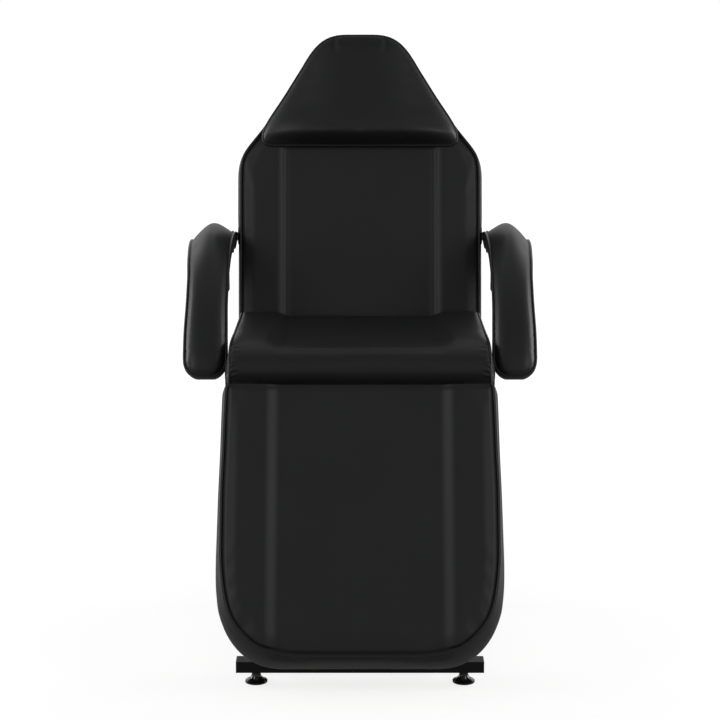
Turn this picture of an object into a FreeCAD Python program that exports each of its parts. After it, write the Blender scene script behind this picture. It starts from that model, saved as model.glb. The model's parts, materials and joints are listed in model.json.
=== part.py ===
import FreeCAD, Part
import math
import os
import Sketcher

# Beauty chair: it faces -Y, +X is to the right as seen from the front, +Z is up, the floor is at z = 0.
# Driving sizes in millimetres, angles in degrees.
SIZES = {
    # floor frame
    "bar_length": 530,
    "tube_width": 40,
    "tube_height": 25,
    "tube_wall": 2,
    "front_bar_ahead": 300,
    "rear_bar_behind": 330,
    "rail_spacing": 340,
    "cap_thickness": 2.5,
    "cap_plug_depth": 12,
    # levelling feet
    "foot_inset": 40.5,
    "foot_height": 26,
    "foot_radius": 24,
    "foot_rim": 3.5,
    "foot_neck_radius": 9.5,
    "foot_shoulder": 19,
    "foot_collar_gap": 3,
    "foot_flare_radius": 18,
    "stem_radius": 5,
    "stem_reach": 22,
    "stem_clearance": 0.2,
    "thread_clearance": 0.05,
    "foot_nut_radius": 9,
    "foot_nut_height": 8,
    # posts and seat frame
    "front_post_foot_ahead": 235,
    "front_post_top_ahead": 130,
    "rear_post_foot_behind": 265,
    "rear_post_top_behind": 80,
    "seat_rail_top": 552,
    "seat_rail_ahead": 250,
    "seat_rail_behind": 315,
    "bearer_length": 430,
    # boards and padding
    "seat_height": 730,
    "pad_thickness": 78,
    "board_thickness": 12,
    "board_inset": 14,
    "crease_spacing": 355,
    "leg_crease_spacing": 374,
    "panel_dip": 8,
    "panel_crown": 2,
    "piping_inset": 6,
    "side_draw": 4,
    # seat
    "seat_width": 562,
    "seat_nose_ahead": 255,
    "seat_rear_behind": 180,
    "seat_board_ahead": 226,
    "nose_rounding": 44,
    "rear_rounding": 18,
    # backrest
    "back_axis_behind": 293,
    "back_axis_drop": 18,
    "back_lean": 15,
    "back_travel": 75,
    "back_width": 560,
    "back_overhang": 66,
    "back_end_rounding": 30,
    "shoulder_height": 430,
    "neck_height": 501,
    "neck_width": 462,
    "crown_height": 667,
    "crown_width": 252,
    "back_top": 724,
    "top_width": 96,
    # legrest
    "leg_axis_ahead": 255,
    "leg_axis_drop": 8,
    "leg_lean": 25,
    "leg_travel": 65,
    "leg_top_width": 568,
    "leg_width": 588,
    "leg_top_gap": 4,
    "leg_top_rounding": 14,
    "leg_straight": 432,
    "leg_length": 588,
    "leg_end_width": 420,
    "leg_end_rounding": 40,
    # hinges
    "plate_thickness": 5,
    "arm_thickness": 6,
    "arm_depth": 30,
    "arm_gap": 0.5,
    "hub_radius": 16,
    "hinge_bolt_radius": 6,
    "bolt_head_radius": 10,
    "bolt_head_height": 5,
    "bolt_clearance": 0.1,
    "back_arm_length": 430,
    "leg_arm_length": 400,
    "cross_tube_size": 25,
    "low_tube_height": 110,
    "high_tube_height": 380,
    "near_tube_reach": 70,
    "far_tube_inset": 50,
    # index sectors, pawls and release rods
    "index_radius": 44,
    "notch_radius": 3.2,
    "nose_radius": 2.8,
    "sector_margin": 7,
    "back_pawl_angle": 50,
    "leg_pawl_angle": 75,
    "pawl_radial": 56,
    "pawl_tangent": 24,
    "pawl_lift": 11,
    "pawl_boss_radius": 9,
    "pawl_finger": 5,
    "rod_radius": 5,
    "rod_overhang": 28,
    "lever_length": 90,
    # screws
    "screw_radius": 2.5,
    "screw_head_radius": 5,
    "screw_head_height": 3,
    "screw_bite": 8,
    "screw_spacing": 240,
    # armrests
    "arm_pivot_depth": 54,
    "arm_pivot_height": 256,
    "arm_inner": 290,
    "arm_rear_width": 112,
    "arm_front_width": 95,
    "arm_arc_radius": 467,
    "arm_apex_ahead": 107,
    "arm_rear_angle": 15,
    "arm_front_angle": 61,
    "arm_rise": 34,
    "arm_sink": 20,
    "arm_pad_gap": 0.3,
    "arm_pad_steps": 30,
    "arm_board_thickness": 10,
    "arm_board_inset": 12,
    "arm_bar_thickness": 5,
    "arm_bar_width": 34,
    "ear_thickness": 5,
    "ear_size": 24,
    "bracket_thickness": 4,
    "bracket_height": 38,
    "bracket_gap": 4,
    "spacer_width": 11,
    # parallel links
    "link_back": 105,
    "link_drop": 99,
    "link_thickness": 6,
    "link_half_width": 12,
    "link_offset": 14,
    "link_pin_radius": 6,
    "link_pin_clearance": 0.5,
    "link_tube_radius": 11,
    "link_journal_radius": 7,
    # head pillow
    "pillow_low": 455,
    "pillow_low_width": 456,
    "pillow_high": 714,
    "pillow_high_width": 196,
    "pillow_low_thickness": 58,
    "pillow_high_thickness": 30,
    "pillow_gap": 0.6,
    "strap_width": 116,
    "strap_thickness": 2,
    "strap_tail": 120,
    # cuts
    "overrun": 2,
}

doc = FreeCAD.newDocument("beauty_chair")
sheet = doc.addObject("Spreadsheet::Sheet", "sizes")
for row, (alias, value) in enumerate(SIZES.items(), start=1):
    sheet.set(f"A{row}", alias)
    sheet.set(f"B{row}", str(value))
    sheet.setAlias(f"B{row}", alias)
doc.recompute()


class Size:
    """A number worked out from the sheet, with the expression that gives it."""

    def __init__(self, value, text):
        self.value = value
        self.text = text

    def __add__(self, other):
        other = as_size(other)
        return Size(self.value + other.value, f"({self.text} + {other.text})")

    def __sub__(self, other):
        other = as_size(other)
        return Size(self.value - other.value, f"({self.text} - {other.text})")

    def __mul__(self, other):
        other = as_size(other)
        return Size(self.value * other.value, f"({self.text} * {other.text})")

    def __truediv__(self, other):
        other = as_size(other)
        return Size(self.value / other.value, f"({self.text} / {other.text})")

    def __neg__(self):
        return Size(-self.value, f"(-{self.text})")

    __radd__ = __add__
    __rmul__ = __mul__


def as_size(value):
    return value if isinstance(value, Size) else Size(value, repr(value))


def sine(angle):
    return Size(math.sin(math.radians(angle.value)), f"sin({angle.text} * 1 deg)")


def cosine(angle):
    return Size(math.cos(math.radians(angle.value)), f"cos({angle.text} * 1 deg)")


class Sheet:
    """Named sizes read from the spreadsheet by attribute."""

    def __getattr__(self, alias):
        return Size(float(sheet.get(alias)), f"sizes.{alias}")


s = Sheet()
zero = Size(0.0, "0")


class Frame:
    """A section of the chair: its hinge axis lies along X at (y, z), and it leans back by tilt."""

    def __init__(self, y, z, tilt):
        self.y = y
        self.z = z
        self.tilt = tilt

    def point(self, y, z):
        if self.tilt is None:
            return self.y + y, self.z + z
        along = self.y + y * cosine(self.tilt) + z * sine(self.tilt)
        up = self.z + z * cosine(self.tilt) - y * sine(self.tilt)
        return along, up


board_drop = s.pad_thickness + s.board_thickness
world = Frame(zero, zero, None)
back = Frame(s.back_axis_behind, s.seat_height - board_drop - s.back_axis_drop, s.back_lean)
leg = Frame(-s.leg_axis_ahead, s.seat_height - board_drop - s.leg_axis_drop, s.leg_lean)

kept = []


def keep(label, item):
    item.Label = label
    kept.append(item)
    return item


def bind(item, name, size):
    item.setExpression(name, size.text)


def place(item, frame, at, axis="x", turn=None):
    """Put an object at a local point of a frame, turned about one axis."""
    x, (y, z) = as_size(at[0]), frame.point(as_size(at[1]), as_size(at[2]))
    if turn is None and axis == "x" and frame.tilt is not None:
        turn = -frame.tilt
    vectors = {"x": FreeCAD.Vector(1, 0, 0), "y": FreeCAD.Vector(0, 1, 0), "z": FreeCAD.Vector(0, 0, 1)}
    rotation = FreeCAD.Rotation()
    if turn is not None:
        rotation = FreeCAD.Rotation(vectors[axis], turn.value)
    item.Placement = FreeCAD.Placement(FreeCAD.Vector(x.value, y.value, z.value), rotation)
    bind(item, "Placement.Base.x", x)
    bind(item, "Placement.Base.y", y)
    bind(item, "Placement.Base.z", z)
    if turn is not None:
        bind(item, "Placement.Rotation.Angle", turn)
    return item


def box(name, frame, low, size):
    item = doc.addObject("Part::Box", name)
    for prop, length in zip(("Length", "Width", "Height"), size):
        bind(item, prop, length)
    return place(item, frame, low)


right_angle = Size(90.0, "90")


def rod(name, frame, axis, at, radius, length):
    """A round bar that starts at a point and runs along the frame's x, y or z."""
    item = doc.addObject("Part::Cylinder", name)
    bind(item, "Radius", radius)
    bind(item, "Height", length)
    if axis == "x":
        return place(item, frame, at, "y", right_angle)
    if axis == "y":
        tilt = zero if frame.tilt is None else frame.tilt
        return place(item, frame, at, "x", -(right_angle + tilt))
    return place(item, frame, at)


def fuse(name, items):
    item = doc.addObject("Part::MultiFuse", name)
    item.Shapes = items
    return item


def cut(name, base, tools):
    item = doc.addObject("Part::Cut", name)
    item.Base = base
    item.Tool = tools[0] if len(tools) == 1 else fuse(f"{name}_tools", tools)
    return item


def group(name, items):
    item = doc.addObject("Part::Compound", name)
    item.Links = items
    return item


def tube(name, frame, low, size, axis):
    """A rectangular tube along x or y, open at both ends."""
    outer = box(f"{name}_outer", frame, low, size)
    along = "xyz".index(axis)
    hole_low = [as_size(value) + s.tube_wall for value in low]
    hole_size = [length - s.tube_wall * 2 for length in size]
    hole_low[along] = as_size(low[along]) - s.overrun
    hole_size[along] = size[along] + s.overrun * 2
    return cut(name, outer, [box(f"{name}_hole", frame, hole_low, hole_size)])


def outline_sketch(body, plane, outline, holes):
    """A closed outline of lines and arcs, held by the places of its corners, with round holes."""
    sketch = body.newObject("Sketcher::SketchObject", f"{body.Name}_sketch")
    origin = [item for item in body.Origin.OriginFeatures if item.Role == f"{plane}_Plane"][0]
    sketch.AttachmentSupport = [(origin, "")]
    sketch.MapMode = "FlatFace"
    corners = [(as_size(corner[0]), as_size(corner[1])) for corner in outline]
    flat = [FreeCAD.Vector(u.value, v.value, 0) for u, v in corners]
    edges = []
    for index, corner in enumerate(outline):
        after = (index + 1) % len(outline)
        if len(corner) == 2:
            edges.append((sketch.addGeometry(Part.LineSegment(flat[index], flat[after]), False), 1, 2))
            continue
        radius, bulge = corner[2:]
        chord = flat[after] - flat[index]
        sagitta = radius.value - math.sqrt(radius.value**2 - chord.Length**2 / 4)
        normal = FreeCAD.Vector(chord.y, -chord.x, 0).normalize()
        middle = (flat[index] + flat[after]) / 2 + normal * (sagitta * bulge)
        arc = Part.Arc(flat[index], middle, flat[after])
        edge = sketch.addGeometry(arc, False)
        start = sketch.getPoint(edge, 1)
        forward = (start - flat[index]).Length < (start - flat[after]).Length
        edges.append((edge, 1 if forward else 2, 2 if forward else 1))
        bound = sketch.addConstraint(Sketcher.Constraint("Radius", edge, radius.value))
        sketch.setExpression(f"Constraints[{bound}]", radius.text)
    for index, (edge, first, last) in enumerate(edges):
        follower = edges[(index + 1) % len(edges)]
        sketch.addConstraint(Sketcher.Constraint("Coincident", edge, last, follower[0], follower[1]))
    for (edge, first, last), corner in zip(edges, corners):
        for kind, size in zip(("DistanceX", "DistanceY"), corner):
            bound = sketch.addConstraint(Sketcher.Constraint(kind, -1, 1, edge, first, size.value))
            sketch.setExpression(f"Constraints[{bound}]", size.text)
    for u, v, radius in holes:
        u, v = as_size(u), as_size(v)
        circle = Part.Circle(FreeCAD.Vector(u.value, v.value, 0), FreeCAD.Vector(0, 0, 1), radius.value)
        edge = sketch.addGeometry(circle, False)
        for kind, size in (("DistanceX", u), ("DistanceY", v)):
            bound = sketch.addConstraint(Sketcher.Constraint(kind, -1, 1, edge, 3, size.value))
            sketch.setExpression(f"Constraints[{bound}]", size.text)
        bound = sketch.addConstraint(Sketcher.Constraint("Radius", edge, radius.value))
        sketch.setExpression(f"Constraints[{bound}]", radius.text)
    return sketch


def plate(name, frame, plane, offset, thickness, outline, holes=()):
    """A padded outline: YZ plates grow along +x, XZ along -y and XY along +z from their offset."""
    body = doc.addObject("PartDesign::Body", name)
    sketch = outline_sketch(body, plane, outline, holes)
    pad = body.newObject("PartDesign::Pad", f"{name}_pad")
    pad.Profile = sketch
    bind(pad, "Length", thickness)
    at = {"YZ": (offset, zero, zero), "XZ": (zero, offset, zero), "XY": (zero, zero, offset)}[plane]
    return place(body, frame, at)


def mirrored(half):
    """A whole outline from the corners on its +x side."""
    return half + [(-corner[0], corner[1]) for corner in reversed(half)]


def arc(first, middle, last):
    return Part.Arc(first, middle, last).toShape()


def loft(name, rings):
    item = doc.addObject("Part::Feature", name)
    item.Shape = Part.makeLoft([Part.Wire(ring) for ring in rings], True, True)
    return item


def cushion_ring(at, half, rise, crease, dip_share):
    """One section across an upholstered pad: side gussets, two wings and a dipped centre panel."""
    foot = half - s.side_draw.value
    edge = half - s.piping_inset.value
    lip = rise - (half - crease) * wing_fall_share
    panel = rise - s.panel_dip.value * dip_share
    bulge = panel + s.panel_crown.value * dip_share
    wing = (edge + crease) / 2
    points = [(foot, 0), (half, lip / 2), (edge, lip), (wing, rise), (crease, panel), (0, bulge)]
    right = [at(x, t) for x, t in points]
    left = [at(-x, t) for x, t in points]
    return [
        Part.makeLine(left[0], right[0]),
        arc(right[0], right[1], right[2]),
        arc(right[2], right[3], right[4]),
        arc(right[4], right[5], left[4]),
        arc(left[4], left[3], left[2]),
        arc(left[2], left[1], left[0]),
    ]


def crowned_ring(at, inner, outer, rise):
    """One section across a plain domed pad."""
    lip = rise * dome_lip_share
    draw = lip * dome_draw_share
    points = [(inner + draw, 0), (inner, lip / 2), (inner + draw, lip), ((inner + outer) / 2, rise)]
    points += [(outer - draw, lip), (outer, lip / 2), (outer - draw, 0)]
    p = [at(x, t) for x, t in points]
    return [Part.makeLine(p[6], p[0]), arc(p[0], p[1], p[2]), arc(p[2], p[3], p[4]), arc(p[4], p[5], p[6])]


# Shares of the sizes that they follow.
wing_fall_share = 0.1
crease_limit_share = 0.66
dome_draw_share = 0.3
dome_lip_share = 0.34
end_shares = ((0.0, 0.34), (0.12, 0.62), (0.45, 0.89), (1.0, 1.0))


def rounded_end(start, run):
    """Places along a rounded end, with the share of the full thickness that each has."""
    return [(start + run * place_share, rise_share) for place_share, rise_share in end_shares]


def width_at(table, place_value):
    for (p, half), (q, after) in zip(table, table[1:]):
        if p <= place_value <= q:
            return half + (after - half) * (place_value - p) / (q - p)
    return table[0][1] if place_value < table[0][0] else table[-1][1]


def cushion(name, table, first_run, last_run, crease, mapped):
    """An upholstered pad along a table of (place, half width), with rounded ends."""
    start, end = table[0][0], table[-1][0]
    first = rounded_end(start, first_run)
    last = rounded_end(end, -last_run)
    places = first + [(p, 1.0) for p, half in table if start + first_run < p < end - last_run]
    places += list(reversed(last))
    rings = []
    for along, rise_share in places:
        half = width_at(table, along)
        rise = s.pad_thickness.value * rise_share
        limit = min(crease.value / 2, half * crease_limit_share)

        def at(x, t, along=along):
            return mapped(x, t, along)

        rings.append(cushion_ring(at, half, rise, limit, rise_share))
    return loft(name, rings)


def section_map(frame, face):
    """Turns (x, height above the board, place along) into a point, for a leaning section."""

    def mapped(x, t, along):
        y, z = frame.point(as_size(face - t), as_size(along))
        return FreeCAD.Vector(x, y.value, z.value)

    return mapped


sides = (("left", -1), ("right", 1))


def mirror_low(side, low, length):
    """The low x of a piece that starts at a distance from the middle, on either side."""
    return low if side > 0 else -(low + length)


# Floor frame: two bars on feet, two rails between them.
bar_low = s.foot_height
bar_ys = {"front": -s.front_bar_ahead, "rear": s.rear_bar_behind}
foot_places = [(end, side_name, side) for end in bar_ys for side_name, side in sides]
foot_x = s.bar_length / 2 - s.foot_inset


def floor_bars():
    hole = s.stem_radius + s.stem_clearance
    caps = []
    nuts = []
    for end, y in bar_ys.items():
        low = (-s.bar_length / 2, y - s.tube_width / 2, bar_low)
        size = (s.bar_length, s.tube_width, s.tube_height)
        bar = tube(f"{end}_bar_tube", world, low, size, "x")
        holes = []
        for side_name, side in sides:
            name = f"{end}_{side_name}"
            x = foot_x * side
            holes.append(rod(f"{name}_foot_hole", world, "z", (x, y, bar_low - s.overrun), hole,
                             s.tube_wall + s.overrun * 2))
            nut_low = bar_low + s.tube_wall
            nut = rod(f"{name}_nut", world, "z", (x, y, nut_low), s.foot_nut_radius, s.foot_nut_height)
            bore = rod(f"{name}_nut_bore", world, "z", (x, y, nut_low - s.overrun),
                       s.stem_radius + s.thread_clearance, s.foot_nut_height + s.overrun * 2)
            nuts.append(cut(f"{name}_threaded_nut", nut, [bore]))
            cap_x = mirror_low(side, s.bar_length / 2, s.cap_thickness)
            cover = box(f"{name}_cap_cover", world, (cap_x, y - s.tube_width / 2, bar_low),
                        (s.cap_thickness, s.tube_width, s.tube_height))
            plug_x = mirror_low(side, s.bar_length / 2 - s.cap_plug_depth, s.cap_plug_depth)
            plug_at = (plug_x, y - s.tube_width / 2 + s.tube_wall, bar_low + s.tube_wall)
            plug = box(f"{name}_cap_plug", world, plug_at,
                       (s.cap_plug_depth, s.tube_width - s.tube_wall * 2, s.tube_height - s.tube_wall * 2))
            caps.append(fuse(f"{name}_cap", [cover, plug]))
        keep(f"{end}_floor_bar", cut(f"{end}_bar", bar, holes))
    keep("floor_bar_caps", group("floor_caps", caps))
    keep("foot_nuts", group("threaded_nuts", nuts))


def floor_rails():
    for side_name, side in sides:
        low_y = -s.front_bar_ahead + s.tube_width / 2
        length = s.front_bar_ahead + s.rear_bar_behind - s.tube_width
        low = (s.rail_spacing / 2 * side - s.tube_width / 2, low_y, bar_low)
        keep(f"{side_name}_floor_rail",
             tube(f"{side_name}_rail", world, low, (s.tube_width, length, s.tube_height), "y"))


def feet():
    collar_top = s.foot_height - s.foot_collar_gap
    outline = [
        (zero, zero),
        (s.foot_radius, zero),
        (s.foot_radius, s.foot_rim, s.foot_flare_radius, -1),
        (s.foot_neck_radius, s.foot_shoulder),
        (s.foot_neck_radius, collar_top),
        (s.stem_radius, collar_top),
        (s.stem_radius, collar_top + s.stem_reach),
        (zero, collar_top + s.stem_reach),
    ]
    for end, side_name, side in foot_places:
        body = doc.addObject("PartDesign::Body", f"{end}_{side_name}_foot_body")
        sketch = outline_sketch(body, "XZ", outline, ())
        turned = body.newObject("PartDesign::Revolution", f"{end}_{side_name}_foot_turned")
        turned.Profile = sketch
        turned.ReferenceAxis = (sketch, ["V_Axis"])
        turned.Angle = 360
        place(body, world, (foot_x * side, bar_ys[end], zero))
        keep(f"{end}_{side_name}_foot", body)


board_low = s.seat_height - board_drop
bearer_low = board_low - s.tube_height
post_low = bar_low + s.tube_height


def posts():
    for end, foot_y, top_y in (("front", -s.front_post_foot_ahead, -s.front_post_top_ahead),
                               ("rear", s.rear_post_foot_behind, s.rear_post_top_behind)):
        for side_name, side in sides:
            name = f"{side_name}_{end}_post"
            body = doc.addObject("PartDesign::Body", f"{name}_body")
            half_x, half_y = s.tube_height / 2, s.tube_width / 2
            outer = mirrored([(half_x, -half_y), (half_x, half_y)])
            hollow_x, hollow_y = half_x - s.tube_wall, half_y - s.tube_wall
            inner = mirrored([(hollow_x, -hollow_y), (hollow_x, hollow_y)])
            for outline, kind in ((outer, "Pad"), (inner, "Pocket")):
                sketch = outline_sketch(body, "XY", outline, ())
                feature = body.newObject(f"PartDesign::{kind}", f"{name}_{kind.lower()}")
                feature.Profile = sketch
                feature.UseCustomVector = True
                rise = bearer_low - post_low
                lean = top_y - foot_y
                feature.Direction = FreeCAD.Vector(0, lean.value, rise.value)
                bind(feature, "Direction.y", lean)
                bind(feature, "Direction.z", rise)
                feature.AlongSketchNormal = True
                bind(feature, "Length", rise)
                feature.Reversed = False
                doc.recompute()
            place(body, world, (s.rail_spacing / 2 * side, foot_y, post_low))
            keep(name, body)


rail_inner = s.rail_spacing / 2 + s.tube_height / 2
rail_outer = rail_inner + s.tube_height
plate_outer = rail_outer + s.plate_thickness
arm_low = plate_outer + s.arm_gap
arm_high = arm_low + s.arm_thickness


def seat_frame():
    for side_name, side in sides:
        low_x = mirror_low(side, rail_inner, s.tube_height)
        low = (low_x, -s.seat_rail_ahead, s.seat_rail_top - s.tube_width)
        size = (s.tube_height, s.seat_rail_ahead + s.seat_rail_behind, s.tube_width)
        rail = tube(f"{side_name}_seat_tube", world, low, size, "y")
        hole = rod(f"{side_name}_link_tube_hole", world, "x", (low_x - s.overrun, link_root_y, link_root_z),
                   s.link_tube_radius + s.bolt_clearance, s.tube_height + s.overrun * 2)
        keep(f"{side_name}_seat_rail", cut(f"{side_name}_seat_rail_tube", rail, [hole]))
    for end, y in (("front", -s.front_post_top_ahead), ("rear", s.rear_post_top_behind)):
        low = (-s.bearer_length / 2, y - s.tube_width / 2, bearer_low)
        size = (s.bearer_length, s.tube_width, s.tube_height)
        bearer = tube(f"{end}_bearer_tube", world, low, size, "x")
        holes = screw_holes(f"{end}_bearer", world, "z", y, bearer_low - s.overrun,
                            s.tube_height + s.overrun * 2)
        keep(f"{end}_seat_bearer", cut(f"{end}_bearer", bearer, holes))


def screw_holes(name, frame, axis, across, start, depth):
    """Two clearance holes, one each side of the middle, along the frame's z or y."""
    holes = []
    for side_name, side in sides:
        x = s.screw_spacing / 2 * side
        at = (x, across, start) if axis == "z" else (x, start, across)
        radius = s.screw_radius + s.bolt_clearance
        holes.append(rod(f"{name}_{side_name}_hole", frame, axis, at, radius, depth))
    return holes


def screws(name, frame, axis, across, head_face, grip, heads_out):
    """Two screws whose heads sit on a face and whose shanks pass the grip into the board."""
    made = []
    for side_name, side in sides:
        x = s.screw_spacing / 2 * side
        length = grip + s.screw_bite
        shank_start = head_face if heads_out < 0 else head_face - length
        head_start = head_face - s.screw_head_height if heads_out < 0 else head_face
        at = (x, across, shank_start) if axis == "z" else (x, shank_start, across)
        head_at = (x, across, head_start) if axis == "z" else (x, head_start, across)
        shank = rod(f"{name}_{side_name}_shank", frame, axis, at, s.screw_radius, length)
        head = rod(f"{name}_{side_name}_head", frame, axis, head_at, s.screw_head_radius,
                   s.screw_head_height)
        made.append(fuse(f"{name}_{side_name}_screw", [shank, head]))
    return made


def seat():
    half = s.seat_width / 2 - s.board_inset
    rear = s.seat_rear_behind - s.board_inset
    panel = plate("seat_panel", world, "XY", board_low, s.board_thickness,
                  mirrored([(half, -s.seat_board_ahead), (half, rear)]))
    pilot = s.screw_bite + s.bolt_clearance
    holes = []
    made = []
    for end, y in (("front", -s.front_post_top_ahead), ("rear", s.rear_post_top_behind)):
        holes += screw_holes(f"{end}_seat_board", world, "z", y, board_low - s.overrun, pilot + s.overrun)
        made += screws(f"{end}_seat", world, "z", y, bearer_low, s.tube_height, -1)
    keep("seat_board", cut("seat_drilled", panel, holes))
    keep("seat_screws", group("seat_screw_set", made))
    wide = s.seat_width.value / 2
    pad_low = board_low + s.board_thickness

    def mapped(x, t, along):
        return FreeCAD.Vector(x, along, pad_low.value + t)

    table = [(-s.seat_nose_ahead.value, wide), (s.seat_rear_behind.value, wide)]
    keep("seat_cushion", cushion("seat_pad", table, s.nose_rounding.value, s.rear_rounding.value,
                                 s.crease_spacing, mapped))


def pawl_pin(frame, angle, tangent_side):
    """Where a release rod lies, from the hinge axis, by the angle of its pawl below the horizontal."""
    radial_y, radial_z = cosine(angle), -sine(angle)
    tangent_y, tangent_z = sine(angle) * tangent_side, cosine(angle) * tangent_side
    y = radial_y * s.pawl_radial + tangent_y * s.pawl_tangent
    z = radial_z * s.pawl_radial + tangent_z * s.pawl_tangent
    return frame.y + y, frame.z + z


back_pin = pawl_pin(back, s.back_pawl_angle, -1)
leg_pin = pawl_pin(leg, s.leg_pawl_angle, 1)


def hinge_plates():
    rod_hole = s.rod_radius + s.bolt_clearance
    bolt_hole = s.hinge_bolt_radius + s.bolt_clearance
    rail_low = s.seat_rail_top - s.tube_width
    hub, half_hub = s.hub_radius, s.hub_radius / 2
    back_outline = [
        (back.y - hub, rail_low),
        (s.seat_rail_behind + hub, rail_low),
        (back_pin[0] + hub, s.seat_rail_top),
        (back_pin[0] + hub, back_pin[1] + half_hub),
        (back.y + hub, back.z),
        (back.y + half_hub, back.z + hub),
        (back.y - half_hub, back.z + hub),
        (back.y - hub, back.z + half_hub),
    ]
    leg_outline = [
        (leg.y + hub, rail_low),
        (leg_pin[0] + hub * 2, rail_low),
        (leg_pin[0] + hub * 2, leg_pin[1]),
        (leg_pin[0] + half_hub, leg_pin[1] + hub),
        (leg.y + hub, leg.z + half_hub),
        (leg.y + half_hub, leg.z + hub),
        (leg.y - half_hub, leg.z + hub),
        (leg.y - hub, leg.z + half_hub),
        (leg.y - hub, leg.z - half_hub),
        (leg.y + half_hub, s.seat_rail_top),
    ]
    sections = (("back", back, back_pin, back_outline), ("leg", leg, leg_pin, leg_outline))
    for section, frame, pin, outline in sections:
        for side_name, side in sides:
            low = mirror_low(side, rail_outer, s.plate_thickness)
            holes = [(frame.y, frame.z, bolt_hole), (pin[0], pin[1], rod_hole)]
            keep(f"{side_name}_{section}_hinge_plate",
                 plate(f"{side_name}_{section}_plate", world, "YZ", low, s.plate_thickness, outline, holes))


def hinge_bolts():
    made = []
    for section, frame in (("back", back), ("leg", leg)):
        for side_name, side in sides:
            name = f"{side_name}_{section}_bolt"
            nut_low = rail_outer - s.bolt_head_height
            head_low = arm_high + s.arm_gap
            spans = (("shank", nut_low, head_low - nut_low, s.hinge_bolt_radius),
                     ("nut", nut_low, s.bolt_head_height, s.bolt_head_radius),
                     ("head", head_low, s.bolt_head_height, s.bolt_head_radius))
            pieces = []
            for piece, low, length, radius in spans:
                at = (mirror_low(side, low, length), frame.y, frame.z)
                pieces.append(rod(f"{name}_{piece}", world, "x", at, radius, length))
            made.append(fuse(name, pieces))
    keep("hinge_bolts", group("hinge_bolt_set", made))


def index_arm(name, frame, side, front, reach, first_angle, count, step):
    """A hinge arm: a flat bar with a hub, a bolt hole and a notched index sector behind the axis."""
    low = mirror_low(side, arm_low, s.arm_thickness)
    bar_low_z, bar_length = (zero, reach) if reach.value > 0 else (reach, -reach)
    bar = box(f"{name}_bar", frame, (low, front, bar_low_z), (s.arm_thickness, s.arm_depth, bar_length))
    hub = rod(f"{name}_hub", frame, "x", (low, zero, zero), s.hub_radius, s.arm_thickness)
    span = step * (count - 1) + s.sector_margin * 2
    sector = doc.addObject("Part::Cylinder", f"{name}_sector")
    bind(sector, "Radius", s.index_radius)
    bind(sector, "Height", s.arm_thickness)
    bind(sector, "Angle", span)
    start = first_angle - s.sector_margin
    tilt = FreeCAD.Rotation(FreeCAD.Vector(1, 0, 0), start.value - frame.tilt.value)
    stand = FreeCAD.Rotation(FreeCAD.Vector(1, 1, 1), 120)
    centre = FreeCAD.Vector(low.value, frame.y.value, frame.z.value)
    sector.Placement = FreeCAD.Placement(centre, tilt.multiply(stand))
    solid = fuse(f"{name}_blank", [bar, hub, sector])
    tools = [rod(f"{name}_bore", frame, "x", (low - s.overrun, zero, zero),
                 s.hinge_bolt_radius + s.bolt_clearance, s.arm_thickness + s.overrun * 2)]
    for index in range(count):
        angle = first_angle + step * index
        at = (low - s.overrun, s.index_radius * cosine(angle), s.index_radius * sine(angle))
        tools.append(rod(f"{name}_notch_{index}", frame, "x", at, s.notch_radius,
                         s.arm_thickness + s.overrun * 2))
    return cut(name, solid, tools)


back_notch_count = 7
leg_notch_count = 6


def hinge_arms():
    back_step = s.back_travel / (back_notch_count - 1)
    leg_step = s.leg_travel / (leg_notch_count - 1)
    for side_name, side in sides:
        keep(f"{side_name}_back_arm",
             index_arm(f"{side_name}_back_bar", back, side, -s.back_axis_drop, s.back_arm_length,
                       s.back_lean - s.back_pawl_angle, back_notch_count, back_step))
        keep(f"{side_name}_leg_arm",
             index_arm(f"{side_name}_leg_bar", leg, side, -s.leg_axis_drop, -s.leg_arm_length,
                       s.leg_lean - s.leg_pawl_angle, leg_notch_count, leg_step))


def pawl_point(pin, angle, tangent_side, radial, tangent):
    """A point of a released pawl, from its place about the hinge axis when it is engaged."""
    out, along = radial - s.pawl_radial, (tangent - s.pawl_tangent) * tangent_side
    y = cosine(angle) * out + sine(angle) * along
    z = cosine(angle) * along - sine(angle) * out
    lift = s.pawl_lift * tangent_side
    return pin[0] + y * cosine(lift) - z * sine(lift), pin[1] + y * sine(lift) + z * cosine(lift)


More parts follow.
